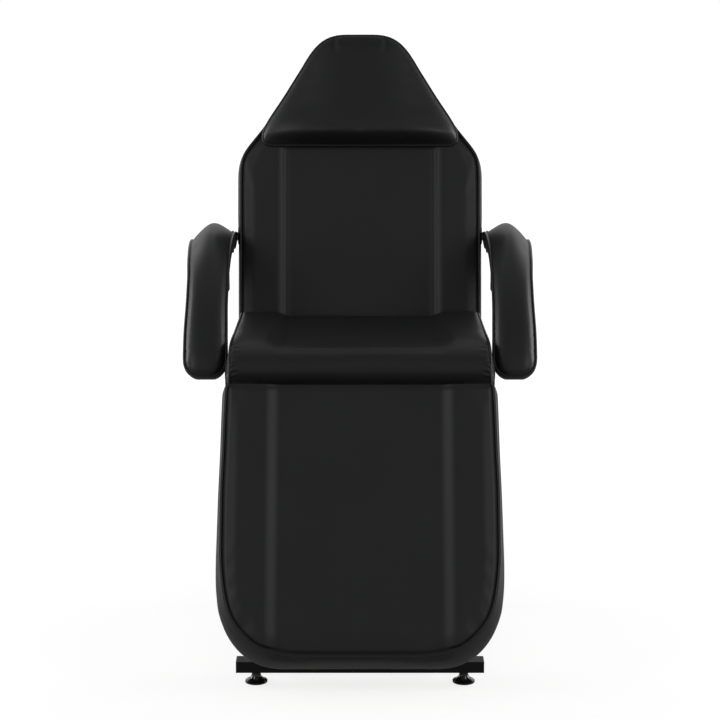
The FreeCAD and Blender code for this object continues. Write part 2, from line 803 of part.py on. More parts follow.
def release(section, pin, angle, tangent_side):
    """A release rod with a bent lever, and the two pawls that it turns, drawn in their released place."""
    length = (arm_high + s.rod_overhang) * 2
    straight = rod(f"{section}_rod_bar", world, "x", (-length / 2, pin[0], pin[1]), s.rod_radius, length)
    lever_x = length / 2 - s.rod_radius
    lever = rod(f"{section}_rod_lever", world, "z", (lever_x, pin[0], pin[1] - s.lever_length), s.rod_radius,
                s.lever_length)
    keep(f"{section}_release_rod", fuse(f"{section}_rod", [straight, lever]))
    tip, nose = s.index_radius, s.nose_radius
    crown = tip + s.pawl_finger
    corners = (
        (s.pawl_radial, s.pawl_tangent),
        (s.pawl_radial, -nose),
        (tip, -nose),
        (tip, nose),
        (crown, nose),
        (crown, s.pawl_tangent),
    )
    outline = [pawl_point(pin, angle, tangent_side, radial, tangent) for radial, tangent in corners]
    tip_at = pawl_point(pin, angle, tangent_side, tip, zero)
    made = []
    for side_name, side in sides:
        name = f"{side_name}_{section}_pawl"
        low = mirror_low(side, arm_low, s.arm_thickness)
        blade = plate(f"{name}_blade", world, "YZ", low, s.arm_thickness, outline)
        boss = rod(f"{name}_boss", world, "x", (low, pin[0], pin[1]), s.pawl_boss_radius, s.arm_thickness)
        point = rod(f"{name}_tip", world, "x", (low, tip_at[0], tip_at[1]), nose, s.arm_thickness)
        bore = rod(f"{name}_bore", world, "x", (low - s.overrun, pin[0], pin[1]),
                   s.rod_radius + s.thread_clearance, s.arm_thickness + s.overrun * 2)
        made.append(cut(name, fuse(f"{name}_blank", [blade, boss, point]), [bore]))
    keep(f"{section}_pawls", group(f"{section}_pawl_set", made))


def section_tubes(section, frame, board_back, places, names):
    """Cross tubes welded between the hinge arms behind a board, with the screws that hold the board."""
    made = []
    holes = []
    for name, along in zip(names, places):
        low = (-arm_low, board_back, along - s.cross_tube_size / 2)
        size = (arm_low * 2, s.cross_tube_size, s.cross_tube_size)
        bar = tube(f"{name}_tube", frame, low, size, "x")
        drilled = screw_holes(f"{name}_tube", frame, "y", along, board_back - s.overrun,
                              s.cross_tube_size + s.overrun * 2)
        keep(name, cut(f"{name}_drilled", bar, drilled))
        face = board_back + s.cross_tube_size
        made += screws(f"{name}_fixing", frame, "y", along, face, s.cross_tube_size, 1)
        pilot = s.screw_bite + s.bolt_clearance
        holes += screw_holes(f"{name}_board", frame, "y", along, board_back - pilot, pilot + s.overrun)
    keep(f"{section}_screws", group(f"{section}_screw_set", made))
    return holes


def back_table():
    """Half widths up the backrest, from its lower end over the shoulders to the head end."""
    wide = s.back_width.value / 2
    neck = s.neck_width.value / 2
    crown = s.crown_width.value / 2
    top = s.top_width.value / 2
    low, shoulder, neck_at = -s.back_overhang.value, s.shoulder_height.value, s.neck_height.value
    crown_at, top_at = s.crown_height.value, s.back_top.value
    table = [(low, wide - s.piping_inset.value), (low + s.back_end_rounding.value, wide), (shoulder, wide)]
    for run, fall in shoulder_shares:
        table.append((shoulder + (neck_at - shoulder) * run, wide + (neck - wide) * fall))
    table += [(neck_at, neck), (crown_at, crown)]
    for run, fall in crown_shares:
        table.append((crown_at + (top_at - crown_at) * run, crown + (top - crown) * fall))
    return table + [(top_at, top)]


shoulder_shares = ((0.25, 0.1), (0.6, 0.5))
crown_shares = ((0.45, 0.24), (0.8, 0.55))


def backrest():
    board_back = -s.back_axis_drop
    inset = s.board_inset
    outline = mirrored([
        (s.back_width / 2 - inset, -s.back_overhang + inset),
        (s.back_width / 2 - inset, s.shoulder_height),
        (s.neck_width / 2 - inset, s.neck_height),
        (s.crown_width / 2 - inset, s.crown_height - inset),
        (s.top_width / 2, s.back_top - inset),
    ])
    panel = plate("backrest_panel", back, "XZ", board_back, s.board_thickness, outline)
    holes = section_tubes("backrest", back, board_back, (s.low_tube_height, s.high_tube_height),
                          ("lower_back_tube", "upper_back_tube"))
    keep("backrest_board", cut("backrest_drilled", panel, holes))
    face = (board_back - s.board_thickness).value
    keep("backrest_cushion", cushion("backrest_pad", back_table(), s.back_end_rounding.value,
                                     s.back_top.value - s.crown_height.value, s.crease_spacing,
                                     section_map(back, face)))


leg_end_shares = ((0.28, 0.06), (0.52, 0.22), (0.76, 0.5))


def legrest():
    board_back = -s.leg_axis_drop
    inset = s.board_inset
    low = -s.leg_length
    straight = -s.leg_straight
    outline = mirrored([
        (s.leg_end_width / 2 - inset, low + inset),
        (s.leg_width / 2 - inset * 2, straight - (s.leg_length - s.leg_straight) / 2),
        (s.leg_width / 2 - inset, straight),
        (s.leg_top_width / 2 - inset, -s.hub_radius - s.leg_top_gap),
    ])
    panel = plate("legrest_panel", leg, "XZ", board_back, s.board_thickness, outline)
    holes = section_tubes("legrest", leg, board_back, (-s.near_tube_reach, s.far_tube_inset - s.leg_arm_length),
                          ("upper_leg_tube", "lower_leg_tube"))
    keep("legrest_board", cut("legrest_drilled", panel, holes))
    wide, end = s.leg_width.value / 2, s.leg_end_width.value / 2
    run = s.leg_length.value - s.leg_straight.value
    table = [(low.value, end)]
    table += [(straight.value - run * r, wide + (end - wide) * f) for r, f in reversed(leg_end_shares)]
    table += [(straight.value, wide), (-s.leg_top_gap.value, s.leg_top_width.value / 2)]
    face = (board_back - s.board_thickness).value
    keep("legrest_cushion", cushion("legrest_pad", table, s.leg_end_rounding.value, s.leg_top_rounding.value,
                                    s.leg_crease_spacing, section_map(leg, face)))


# Armrests: an arc that starts at the pivot on the backrest and droops to the front.
pivot_y, pivot_z = back.point(-s.arm_pivot_depth, s.arm_pivot_height)
apex_y = pivot_y - s.arm_apex_ahead
apex_z = pivot_z + s.arm_arc_radius - Size(
    math.sqrt(s.arm_arc_radius.value**2 - s.arm_apex_ahead.value**2),
    f"sqrt({s.arm_arc_radius.text} ^ 2 - {s.arm_apex_ahead.text} ^ 2)",
)
arc_y = apex_y
arc_z = apex_z - s.arm_arc_radius
link_y, link_z = pivot_y - s.link_back, pivot_z - s.link_drop
link_root_y, link_root_z = back.y - s.link_back, back.z - s.link_drop
bracket_low = s.back_width / 2 + s.bracket_gap
bracket_high = bracket_low + s.bracket_thickness
ear_low = bracket_high + s.spacer_width
ear_high = ear_low + s.ear_thickness
lug_low = s.arm_inner + s.link_offset
lug_high = lug_low + s.ear_thickness
link_low = lug_high + s.arm_gap
link_high = link_low + s.link_thickness


def ring_plate(name, low, width, outer, inner, rear_angle, front_angle):
    """A strip bent along the armrest's arc, between two radii and two angles from the apex."""
    outline = []
    for radius, angle, bulge in ((outer, -rear_angle, 1), (outer, front_angle, 0), (inner, front_angle, -1),
                                 (inner, -rear_angle, 0)):
        point = (arc_y - radius * sine(angle), arc_z + radius * cosine(angle))
        outline.append(point + (radius, bulge) if bulge else point)
    return plate(name, world, "YZ", low, width, outline)


arm_end_shares = ((0.0, 0.4, 0.8), (0.03, 0.75, 0.93), (0.09, 0.95, 0.99), (0.2, 1.0, 1.0), (0.8, 1.0, 1.0),
                  (0.91, 0.93, 0.98), (0.97, 0.72, 0.9), (1.0, 0.4, 0.72))


def armrest(side_name, side):
    sink_radius = s.arm_arc_radius - s.arm_sink
    rings = []
    span = s.arm_rear_angle.value + s.arm_front_angle.value
    steps = int(s.arm_pad_steps.value)
    runs = {row[0] for row in arm_end_shares} | {step / steps for step in range(steps + 1)}
    for run in sorted(runs):
        rise_share = width_at([(row[0], row[1]) for row in arm_end_shares], run)
        width_share = width_at([(row[0], row[2]) for row in arm_end_shares], run)
        angle = math.radians(-s.arm_rear_angle.value + span * run)
        width = s.arm_rear_width.value + (s.arm_front_width.value - s.arm_rear_width.value) * run
        trim = width * (1 - width_share) / 2
        inner = s.arm_inner.value + trim
        outer = s.arm_inner.value + width - trim
        rise = (s.arm_rise + s.arm_sink).value * rise_share

        def at(x, t, angle=angle):
            radius = sink_radius.value + t
            y = arc_y.value - radius * math.sin(angle)
            z = arc_z.value + radius * math.cos(angle)
            return FreeCAD.Vector(x * side, y, z)

        rings.append(crowned_ring(at, inner, outer, rise))
    pad = loft(f"{side_name}_arm_pad", rings)
    pocket_high = ear_high + s.bolt_head_height + s.arm_gap * 2
    pocket_low = s.arm_inner - s.overrun
    pocket_size = s.ear_size + s.arm_gap * 2
    pocket_x = mirror_low(side, pocket_low, pocket_high - pocket_low)
    pocket = box(f"{side_name}_arm_pocket", world,
                 (pocket_x, pivot_y - pocket_size / 2, pivot_z - pocket_size),
                 (pocket_high - pocket_low, pocket_size, pocket_size + pocket_size / 2))
    keep(f"{side_name}_armrest_pad", cut(f"{side_name}_arm_cushion", pad, [pocket]))
    inset = s.arm_board_inset
    rear = s.arm_rear_angle * arm_board_share
    front = s.arm_front_angle * arm_board_share
    board_x = ear_high + s.arm_gap * 2
    board_width = s.arm_inner + s.arm_front_width - inset - board_x
    over_board = sink_radius - s.arm_pad_gap
    under_board = over_board - s.arm_board_thickness
    keep(f"{side_name}_armrest_board",
         ring_plate(f"{side_name}_arm_board", mirror_low(side, board_x, board_width), board_width, over_board,
                    under_board, rear, front))
    bar_width = s.arm_bar_width
    under_bar = under_board - s.arm_bar_thickness
    strip = ring_plate(f"{side_name}_arm_strip", mirror_low(side, ear_low, bar_width), bar_width, under_board,
                       under_bar, s.arm_rear_angle, front * arm_bar_share)
    ear_bottom = arc_z + under_bar * cosine(s.arm_rear_angle)
    ear = box(f"{side_name}_arm_ear", world,
              (mirror_low(side, ear_low, s.ear_thickness), pivot_y - s.ear_size / 2, ear_bottom),
              (s.ear_thickness, s.ear_size, pivot_z + s.ear_size / 2 - ear_bottom))
    lug_top = arc_z + under_board - s.arm_bar_thickness / 2
    lug_x = mirror_low(side, lug_low, s.ear_thickness)
    lug = box(f"{side_name}_arm_lug", world, (lug_x, link_y - s.link_half_width, link_z - s.link_half_width),
              (s.ear_thickness, s.link_half_width * 2, lug_top - link_z + s.link_half_width))
    blank = fuse(f"{side_name}_arm_blank", [strip, ear, lug])
    bore_length = s.ear_thickness + s.overrun * 2
    pivot_bore = rod(f"{side_name}_arm_pivot_bore", world, "x",
                     (mirror_low(side, ear_low - s.overrun, bore_length), pivot_y, pivot_z),
                     s.hinge_bolt_radius + s.bolt_clearance, bore_length)
    link_bore = rod(f"{side_name}_arm_link_bore", world, "x",
                    (mirror_low(side, lug_low - s.overrun, bore_length), link_y, link_z),
                    s.link_pin_radius + s.link_pin_clearance, bore_length)
    keep(f"{side_name}_armrest_bar", cut(f"{side_name}_arm_bar", blank, [pivot_bore, link_bore]))


arm_board_share = 0.93
arm_bar_share = 0.7


def armrest_brackets():
    bolts = []
    for side_name, side in sides:
        depth = s.arm_pivot_depth + s.bracket_height / 2 - s.back_axis_drop
        low_l = s.arm_pivot_height - s.bracket_height / 2
        cheek = box(f"{side_name}_bracket_cheek", back,
                    (mirror_low(side, bracket_low, s.bracket_thickness), -s.back_axis_drop - depth, low_l),
                    (s.bracket_thickness, depth + s.bracket_thickness, s.bracket_height))
        foot_low = arm_high + s.arm_gap
        foot_width = bracket_high - foot_low
        foot = box(f"{side_name}_bracket_foot", back,
                   (mirror_low(side, foot_low, foot_width), -s.back_axis_drop, low_l),
                   (foot_width, s.bracket_thickness, s.bracket_height))
        bore_length = s.bracket_thickness + s.overrun * 2
        bore_low = mirror_low(side, bracket_low - s.overrun, bore_length)
        bore = rod(f"{side_name}_bracket_bore", back, "x", (bore_low, -s.arm_pivot_depth, s.arm_pivot_height),
                   s.hinge_bolt_radius + s.thread_clearance, bore_length)
        angle = fuse(f"{side_name}_bracket_blank", [cheek, foot])
        keep(f"{side_name}_armrest_bracket", cut(f"{side_name}_bracket", angle, [bore]))
        name = f"{side_name}_armrest_bolt"
        head_low = ear_high + s.arm_gap / 2
        spans = (("shank", bracket_low, head_low - bracket_low, s.hinge_bolt_radius),
                 ("spacer", bracket_high, s.spacer_width - s.arm_gap / 2, s.bolt_head_radius),
                 ("head", head_low, s.bolt_head_height, s.bolt_head_radius))
        pieces = []
        for piece, low, length, radius in spans:
            at = (mirror_low(side, low, length), pivot_y, pivot_z)
            pieces.append(rod(f"{name}_{piece}", world, "x", at, radius, length))
        bolts.append(fuse(name, pieces))
    keep("armrest_bolts", group("armrest_bolt_set", bolts))


def arm_links():
    half_length = lug_low - s.arm_gap
    outer = rod("link_tube_outer", world, "x", (-half_length, link_root_y, link_root_z), s.link_tube_radius,
                half_length * 2)
    inner_radius = s.link_tube_radius - s.tube_wall
    inner = rod("link_tube_inner", world, "x", (-half_length - s.overrun, link_root_y, link_root_z),
                inner_radius, half_length * 2 + s.overrun * 2)
    keep("arm_link_tube", cut("link_tube", outer, [inner]))
    pins = []
    for side_name, side in sides:
        name = f"{side_name}_link_pin"
        spans = (("plug", half_length - s.cap_plug_depth * 2, s.cap_plug_depth * 2, inner_radius),
                 ("collar", half_length, link_low - half_length - s.arm_gap / 2, s.link_tube_radius),
                 ("journal", half_length, link_high - half_length + s.arm_gap / 2, s.link_journal_radius),
                 ("head", link_high + s.arm_gap / 2, s.bolt_head_height, s.link_tube_radius))
        pieces = []
        for piece, low, length, radius in spans:
            at = (mirror_low(side, low, length), link_root_y, link_root_z)
            pieces.append(rod(f"{name}_{piece}", world, "x", at, radius, length))
        pins.append(fuse(name, pieces))
        low = mirror_low(side, link_low, s.link_thickness)
        half = s.link_half_width
        outline = [
            (link_root_y - half, link_root_z),
            (link_root_y - half / 2, link_root_z - half),
            (link_root_y + half / 2, link_root_z - half),
            (link_root_y + half, link_root_z),
            (link_y + half, link_z),
            (link_y + half / 2, link_z + half),
            (link_y - half / 2, link_z + half),
            (link_y - half, link_z),
        ]
        strip = plate(f"{side_name}_link_strip", world, "YZ", low, s.link_thickness, outline,
                      [(link_root_y, link_root_z, s.link_journal_radius + s.thread_clearance)])
        stud_low = lug_low - s.arm_gap
        stud_length = link_high - stud_low - s.overrun
        stud_x = mirror_low(side, stud_low, stud_length)
        stud = rod(f"{side_name}_link_stud", world, "x", (stud_x, link_y, link_z), s.link_pin_radius,
                   stud_length)
        keep(f"{side_name}_arm_link", fuse(f"{side_name}_link", [strip, stud]))
    keep("arm_link_pins", group("link_pin_set", pins))


strap_lip_share = 0.75
pillow_shares = ((0.0, 0.45, 0.975), (0.05, 0.82, 0.995), (0.14, 0.97, 1.0), (0.3, 1.0, 1.0), (0.6, 1.0, 1.0),
                 (0.85, 0.97, 0.98), (0.95, 0.8, 0.9), (1.0, 0.5, 0.7))


def head_pillow():
    front = s.back_axis_drop + board_drop + s.pillow_gap
    mapped = section_map(back, -front.value)
    rings = []
    for run, rise_share, width_share in pillow_shares:
        along = s.pillow_low.value + (s.pillow_high - s.pillow_low).value * run
        thick = s.pillow_low_thickness.value + (s.pillow_high_thickness - s.pillow_low_thickness).value * run
        width = s.pillow_low_width.value + (s.pillow_high_width - s.pillow_low_width).value * run
        half = width / 2 * width_share

        def at(x, t, along=along):
            return mapped(x, t, along)

        rings.append(crowned_ring(at, -half, half, thick * rise_share))
    keep("head_pillow", loft("pillow_pad", rings))
    top = s.back_top + s.pillow_gap
    rear = -s.back_axis_drop + s.pillow_gap
    thick = s.strap_thickness
    lip = -s.back_axis_drop - s.board_thickness - s.pad_thickness * strap_lip_share
    outline = [
        (-front, s.pillow_high),
        (lip, top),
        (rear, top),
        (rear, s.back_top - s.strap_tail),
        (rear + thick, s.back_top - s.strap_tail),
        (rear + thick, top + thick),
        (lip - thick / 2, top + thick),
        (-front - thick, s.pillow_high + thick / 2),
    ]
    keep("pillow_strap", plate("strap", back, "YZ", -s.strap_width / 2, s.strap_width, outline))


floor_bars()
floor_rails()
feet()
posts()
seat_frame()
seat()
hinge_plates()
hinge_bolts()
hinge_arms()
release("back", back_pin, s.back_pawl_angle, -1)
release("leg", leg_pin, s.leg_pawl_angle, 1)
backrest()
legrest()
for arm_side_name, arm_side in sides:
    armrest(arm_side_name, arm_side)
armrest_brackets()
arm_links()
head_pillow()
doc.recompute()

faults = [item.Name for item in doc.Objects if "Invalid" in item.State or "Error" in item.State]
faults += [item.Label for item in kept if item.Shape.isNull() or not item.Shape.isValid()]
if faults:
    raise RuntimeError(f"failed pieces: {faults}")
os.makedirs("parts", exist_ok=True)
for item in kept:
    item.Shape.exportStep(f"parts/{item.Label}.step")
    print(item.Label, len(item.Shape.Solids), round(item.Shape.Volume / 1000, 1))
print(len(kept), "pieces")
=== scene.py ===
import json
import math

import bpy
import numpy as np
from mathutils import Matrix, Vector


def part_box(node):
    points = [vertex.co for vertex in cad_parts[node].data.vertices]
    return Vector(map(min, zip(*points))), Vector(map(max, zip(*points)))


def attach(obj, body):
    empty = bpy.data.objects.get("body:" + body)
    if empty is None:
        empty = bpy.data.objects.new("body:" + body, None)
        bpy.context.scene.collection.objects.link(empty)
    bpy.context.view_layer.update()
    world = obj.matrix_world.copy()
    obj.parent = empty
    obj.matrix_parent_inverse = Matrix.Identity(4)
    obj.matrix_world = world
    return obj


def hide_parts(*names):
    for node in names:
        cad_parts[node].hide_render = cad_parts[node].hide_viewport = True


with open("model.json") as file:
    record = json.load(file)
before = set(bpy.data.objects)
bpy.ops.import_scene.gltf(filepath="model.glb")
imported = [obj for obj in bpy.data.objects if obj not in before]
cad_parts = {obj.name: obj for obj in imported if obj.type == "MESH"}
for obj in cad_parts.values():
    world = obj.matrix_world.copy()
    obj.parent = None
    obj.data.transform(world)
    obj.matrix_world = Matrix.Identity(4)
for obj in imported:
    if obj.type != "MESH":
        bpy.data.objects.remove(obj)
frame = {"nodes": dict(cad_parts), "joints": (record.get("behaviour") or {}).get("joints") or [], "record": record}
nodes = frame["nodes"]
joint_at = {joint["name"]: joint["pos_m"] for joint in frame["joints"] if "pos_m" in joint}
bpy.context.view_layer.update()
scene = bpy.context.scene
scene.view_settings.view_transform = "Standard"
mm = 0.001
tiny = 1e-9

# Trim. Sizes are in millimetres, up to where a piece is made.
tube_sides = 10
fewest_path_points = 8
welt_radius = 3.2
welt_step = 6.0
staple_step = 44.0
staple_length = 11.0
staple_wire = 1.1
bead_radius = 2.6
bead_step = 2.4
bead_wave_share = 0.16
bead_wave_turn = 1.9
grip_length = 58.0
grip_radius = 8.0
grip_cap = 3.0
grip_rings = 40
grip_ridge = 0.5
grip_ridge_turn = 1.4

# Cushions. A rise is a height above the board, and a pair of rises is where an effect fades in.
lip_height = 72.0
wing_height = 76.5
edge_run = 13.0
seam_dip = 3.0
seam_width = 4.5
seam_fade = 12.0
centre_dip = 9.0
ramp_half = 18.0
panel_rises = (40, 60)
recess_fade = 26.0
fold_fade = 30.0
back_crease = 178.0
leg_crease = 182.0
tuck = 2.0
hem_folds = ((1.0, -7.0), (4.0, -13.2), (14.0, -13.6), (42.0, -13.2))
cushion_columns = 76
cushion_rings = 8
panel_low = 60

# Unevenness of the covers.
ripple_waves = 7
ripple_rises = (20, 50)
ripple_share = 1 / 3
ripple_size_shares = (0.6, 1.7)
pucker_turn = 8.0
pucker_start = (-6, 4)
pucker_length_shares = (0.7, 1.3)
pucker_depth_shares = (0.6, 1.2)
pucker_fade_share = 0.25
pucker_width = 3.6
pucker_ridge_at = 7.0
pucker_ridge_width = 4.5
pucker_ridge_share = 0.5

# Armrests.
arm_edge_rise = 20.0
arm_rise = 31.0
arm_fall = 10.0
arm_lift = 8.0
arm_folds = ((1.0, -6.0), (3.0, -11.2), (14.0, -11.4))
arm_end_run = 50.0
arm_columns = 30
arm_rings = 5

# Filling of a cover: a short cloth run.
fill_frames = 16
cloth_settings = {
    "vertex_group_mass": "held",
    "quality": 5,
    "mass": 0.3,
    "tension_stiffness": 18,
    "compression_stiffness": 18,
    "shear_stiffness": 8,
    "bending_stiffness": 3.0,
    "use_pressure": True,
}

# Corners of a square and faces of a box on two such squares.
square = ((-1, -1), (1, -1), (1, 1), (-1, 1))
box_faces = ((3, 2, 1, 0), (4, 5, 6, 7), (0, 1, 5, 4), (1, 2, 6, 5), (2, 3, 7, 6), (3, 0, 4, 7))


# Finishes

class Wire:
    """A socket of a finish; sums on it add the nodes that work them out."""

    def __init__(self, finish, socket):
        self.finish = finish
        self.socket = socket

    def math(self, operation, *values):
        return self.finish.node("Math", {"operation": operation}, dict(enumerate(values)))

    def __add__(self, other):
        return self.math("ADD", self, other)

    def __sub__(self, other):
        return self.math("SUBTRACT", self, other)

    def __rsub__(self, other):
        return self.math("SUBTRACT", other, self)

    def __mul__(self, other):
        return self.math("MULTIPLY", self, other)

    __radd__ = __add__
    __rmul__ = __mul__


class Finish:
    """A procedural material and the one way in which its nodes are made."""

    def __init__(self, name, tree=None):
        self.material = None
        if tree is None:
            self.material = bpy.data.materials.new(name)
            self.material.use_nodes = True
            tree = self.material.node_tree
        self.tree = tree
        self.tree.nodes.clear()

    def node(self, kind, settings=None, sockets=None, output=0):
        item = self.tree.nodes.new(f"ShaderNode{kind}")
        for key, value in (settings or {}).items():
            if key == "stops":
                stops = item.color_ramp.elements
                while len(stops) < len(value):
                    stops.new(1)
                for stop, (place, shade) in zip(stops, value):
                    stop.position = place
                    stop.color = (shade, shade, shade, 1)
            else:
                setattr(item, key, value)
        for key, value in (sockets or {}).items():
            socket = item.inputs[key]
            if isinstance(value, Wire):
                self.tree.links.new(value.socket, socket)
            else:
                socket.default_value = value
        return Wire(self, item.outputs[output]) if len(item.outputs) else None

    def place(self):
        return self.node("TexCoord", {}, {}, "Object")

    def stretched(self, place, scale):
        return self.node("Mapping", {}, {"Vector": place, "Scale": scale})

    def noise(self, place, scale, detail=2.0, roughness=0.5):
        sockets = {"Vector": place, "Scale": scale, "Detail": detail, "Roughness": roughness}
        return self.node("TexNoise", {}, sockets, "Fac")

    def pebbles(self, place, scale):
        settings = {"feature": "SMOOTH_F1"}
        return self.node("TexVoronoi", settings, {"Vector": place, "Scale": scale}, "Distance")

    def ribs(self, place, direction, scale, distortion):
        sockets = {"Vector": place, "Scale": scale, "Distortion": distortion}
        return self.node("TexWave", {"bands_direction": direction}, sockets, "Fac")

    def ramp(self, factor, stops):
        return self.node("ValToRGB", {"stops": stops}, {0: factor})

    def blend(self, factor, first, second):
        """A colour between two colours."""
        return self.node("Mix", {"data_type": "RGBA"}, {0: factor, 6: first, 7: second}, 2)

    def surface(self, fixed, colour, rough, height, depth, strength):
        """A shader with some sockets set, and with its colour, roughness and small relief linked."""
        relief = {"Strength": strength, "Distance": depth, "Height": height}
        normal = self.node("Bump", {}, relief)
        sockets = {**fixed, "Base Color": colour, "Roughness": rough, "Normal": normal}
        shader = self.node("BsdfPrincipled", {}, sockets)
        self.node("OutputMaterial", {}, {"Surface": shader})
        return self.material


def grey(value, warm=0.0):
    return (value * (1 + warm), value, value * (1 - warm), 1)


def faux_leather(name, low, high, roughness, cool=-0.03):
    """Smooth coated cloth: fine pebbled grain, faint mottling, a little duller where it is rubbed."""
    finish = Finish(name)
    place = finish.place()
    fine = finish.noise(place, scale=1500.0)
    mottle = finish.noise(place, scale=7.0, detail=4.0, roughness=0.6)
    sheen = finish.noise(place, scale=2.3)
    colour = finish.blend(mottle, grey(low, cool), grey(high, cool))
    rough = roughness - 0.04 + 0.06 * mottle + 0.05 * sheen
    height = 0.75 * finish.pebbles(place, scale=620.0) + 0.25 * fine
    fixed = {"Specular IOR Level": 0.42, "IOR": 1.5}
    return finish.surface(fixed, colour, rough, height, depth=0.00022, strength=0.35)


def powder_coat(name, low, high, roughness):
    """Satin paint on steel: orange peel, dust specks and slightly worn patches."""
    finish = Finish(name)
    place = finish.place()
    peel = finish.noise(place, scale=420.0)
    speck = finish.ramp(finish.noise(place, scale=900.0, detail=1.0), ((0.66, 0.0), (0.72, 1.0)))
    patches = finish.noise(place, scale=14.0, detail=5.0, roughness=0.65)
    wear = finish.ramp(patches, ((0.45, 0.0), (0.75, 1.0)))
    colour = finish.blend(wear, grey(low), grey(high))
    rough = roughness + 0.1 * wear - 0.06 * speck
    fixed = {"Specular IOR Level": 0.28}
    return finish.surface(fixed, colour, rough, peel, depth=0.0003, strength=0.3)


def bare_plywood(name):
    """Birch ply: long grain with dark pores, and a little cloudiness in its shine."""
    finish = Finish(name)
    place = finish.place()
    along = finish.stretched(place, (46.0, 3.0, 3.0))
    grain = finish.noise(along, scale=3.0, detail=6.0, roughness=0.62)
    pores = finish.ramp(finish.noise(along, scale=15.0), ((0.6, 0.0), (0.72, 1.0)))
    cloud = finish.noise(place, scale=5.0, detail=3.0)
    pale = finish.blend(grain, (0.56, 0.39, 0.23, 1), (0.34, 0.21, 0.11, 1))
    colour = finish.blend(pores * 0.5, pale, (0.16, 0.09, 0.045, 1))
    rough = 0.58 + 0.2 * cloud
    return finish.surface({}, colour, rough, grain, depth=0.0004, strength=0.35)


def plated_steel(name, low, high, roughness):
    """Zinc plate: cloudy patches and fine turning marks."""
    finish = Finish(name)
    place = finish.place()
    cloud = finish.noise(place, scale=55.0, detail=4.0, roughness=0.6)
    marks = finish.noise(finish.stretched(place, (9.0, 1.0, 1.0)), scale=240.0)
    colour = finish.blend(cloud, grey(low, warm=0.02), grey(high, warm=-0.03))
    rough = roughness + 0.18 * cloud
    return finish.surface({"Metallic": 1.0}, colour, rough, marks, depth=0.0002, strength=0.25)


def moulded_plastic(name, low, high, roughness, coat):
    """Moulded plastic: very fine texture and faint scuffs."""
    finish = Finish(name)
    place = finish.place()
    fine = finish.noise(place, scale=800.0)
    rubbed = finish.noise(place, scale=60.0, detail=5.0, roughness=0.7)
    scuff = finish.ramp(rubbed, ((0.55, 0.0), (0.8, 1.0)))
    colour = finish.blend(scuff, grey(low), grey(high))
    rough = roughness + 0.16 * scuff
    fixed = {"Coat Weight": coat, "Coat Roughness": 0.08}
    return finish.surface(fixed, colour, rough, fine, depth=0.00015, strength=0.2)


def woven_elastic(name, low, high):
    """Black elastic: fine ribs along it and a cross weave."""
    finish = Finish(name)
    place = finish.place()
    ribs = finish.ribs(place, "X", scale=160.0, distortion=0.4)
    picks = finish.ribs(place, "Z", scale=210.0, distortion=0.6)
    weave = ribs * 0.6 + picks * 0.4
    colour = finish.blend(weave, grey(low), grey(high))
    rough = 0.95 - 0.2 * weave
    return finish.surface({"Sheen Weight": 0.3}, colour, rough, weave, depth=0.0005, strength=0.6)


finishes = {
    "upholstery": faux_leather("black_faux_leather", low=0.0105, high=0.0155, roughness=0.43),
    "frame_paint": powder_coat("black_powder_coat", low=0.004, high=0.009, roughness=0.5),
    "plywood": bare_plywood("birch_plywood"),
    "zinc_steel": plated_steel("bright_zinc", low=0.42, high=0.62, roughness=0.28),
    "rod_steel": plated_steel("dark_zinc", low=0.2, high=0.32, roughness=0.36),
    "foot_plastic": moulded_plastic("gloss_black_plastic", 0.008, 0.016, roughness=0.2, coat=0.5),
    "cap_plastic": moulded_plastic("matt_black_plastic", 0.013, 0.024, roughness=0.5, coat=0.0),
    "strap_web": woven_elastic("black_elastic", low=0.008, high=0.032),
}
welt_leather = faux_leather("welt_faux_leather", low=0.009, high=0.014, roughness=0.36)


# Places: each takes (across, along, rise) in millimetres to metres in the shared frame.

class Section:
    """A section that leans by an angle in degrees; its board's face is ahead of its hinge."""

    def __init__(self, joint, lean, face):
        self.axis_y = joint_at[joint][1] / mm
        self.axis_z = joint_at[joint][2] / mm
        self.sine = math.sin(math.radians(lean))
        self.cosine = math.cos(math.radians(lean))
        self.face = face

    def world(self, points):
        across, along, rise = points.T
        ahead = self.face + rise
        y = self.axis_y - ahead * self.cosine + along * self.sine
        z = self.axis_z + along * self.cosine + ahead * self.sine
        return np.column_stack((across, y, z)) * mm


class Level:
    """The seat, on top of its board."""

    def __init__(self, board):
        self.board_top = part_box(board)[1].z / mm

    def world(self, points):
        return (points + (0, 0, self.board_top)) * mm


class Bow:
    """An armrest: its line bends along an arc, from the front end (negative) to the rear."""

    def __init__(self, joint, side, radius, apex_ahead, middles):
        self.side = side
        self.centre_y = joint_at[joint][1] / mm - apex_ahead
        self.centre_z = joint_at[joint][2] / mm - math.sqrt(radius ** 2 - apex_ahead ** 2)
        self.radius = radius
        self.middles = middles

    def world(self, points):
        across, along, rise = points.T
        x = self.side * smooth(self.middles, along) + across
        angle = along / self.radius
        reach = self.radius - arm_edge_rise + rise
        y = self.centre_y + reach * np.sin(angle)
        z = self.centre_z + reach * np.cos(angle)
        return np.column_stack((x, y, z)) * mm


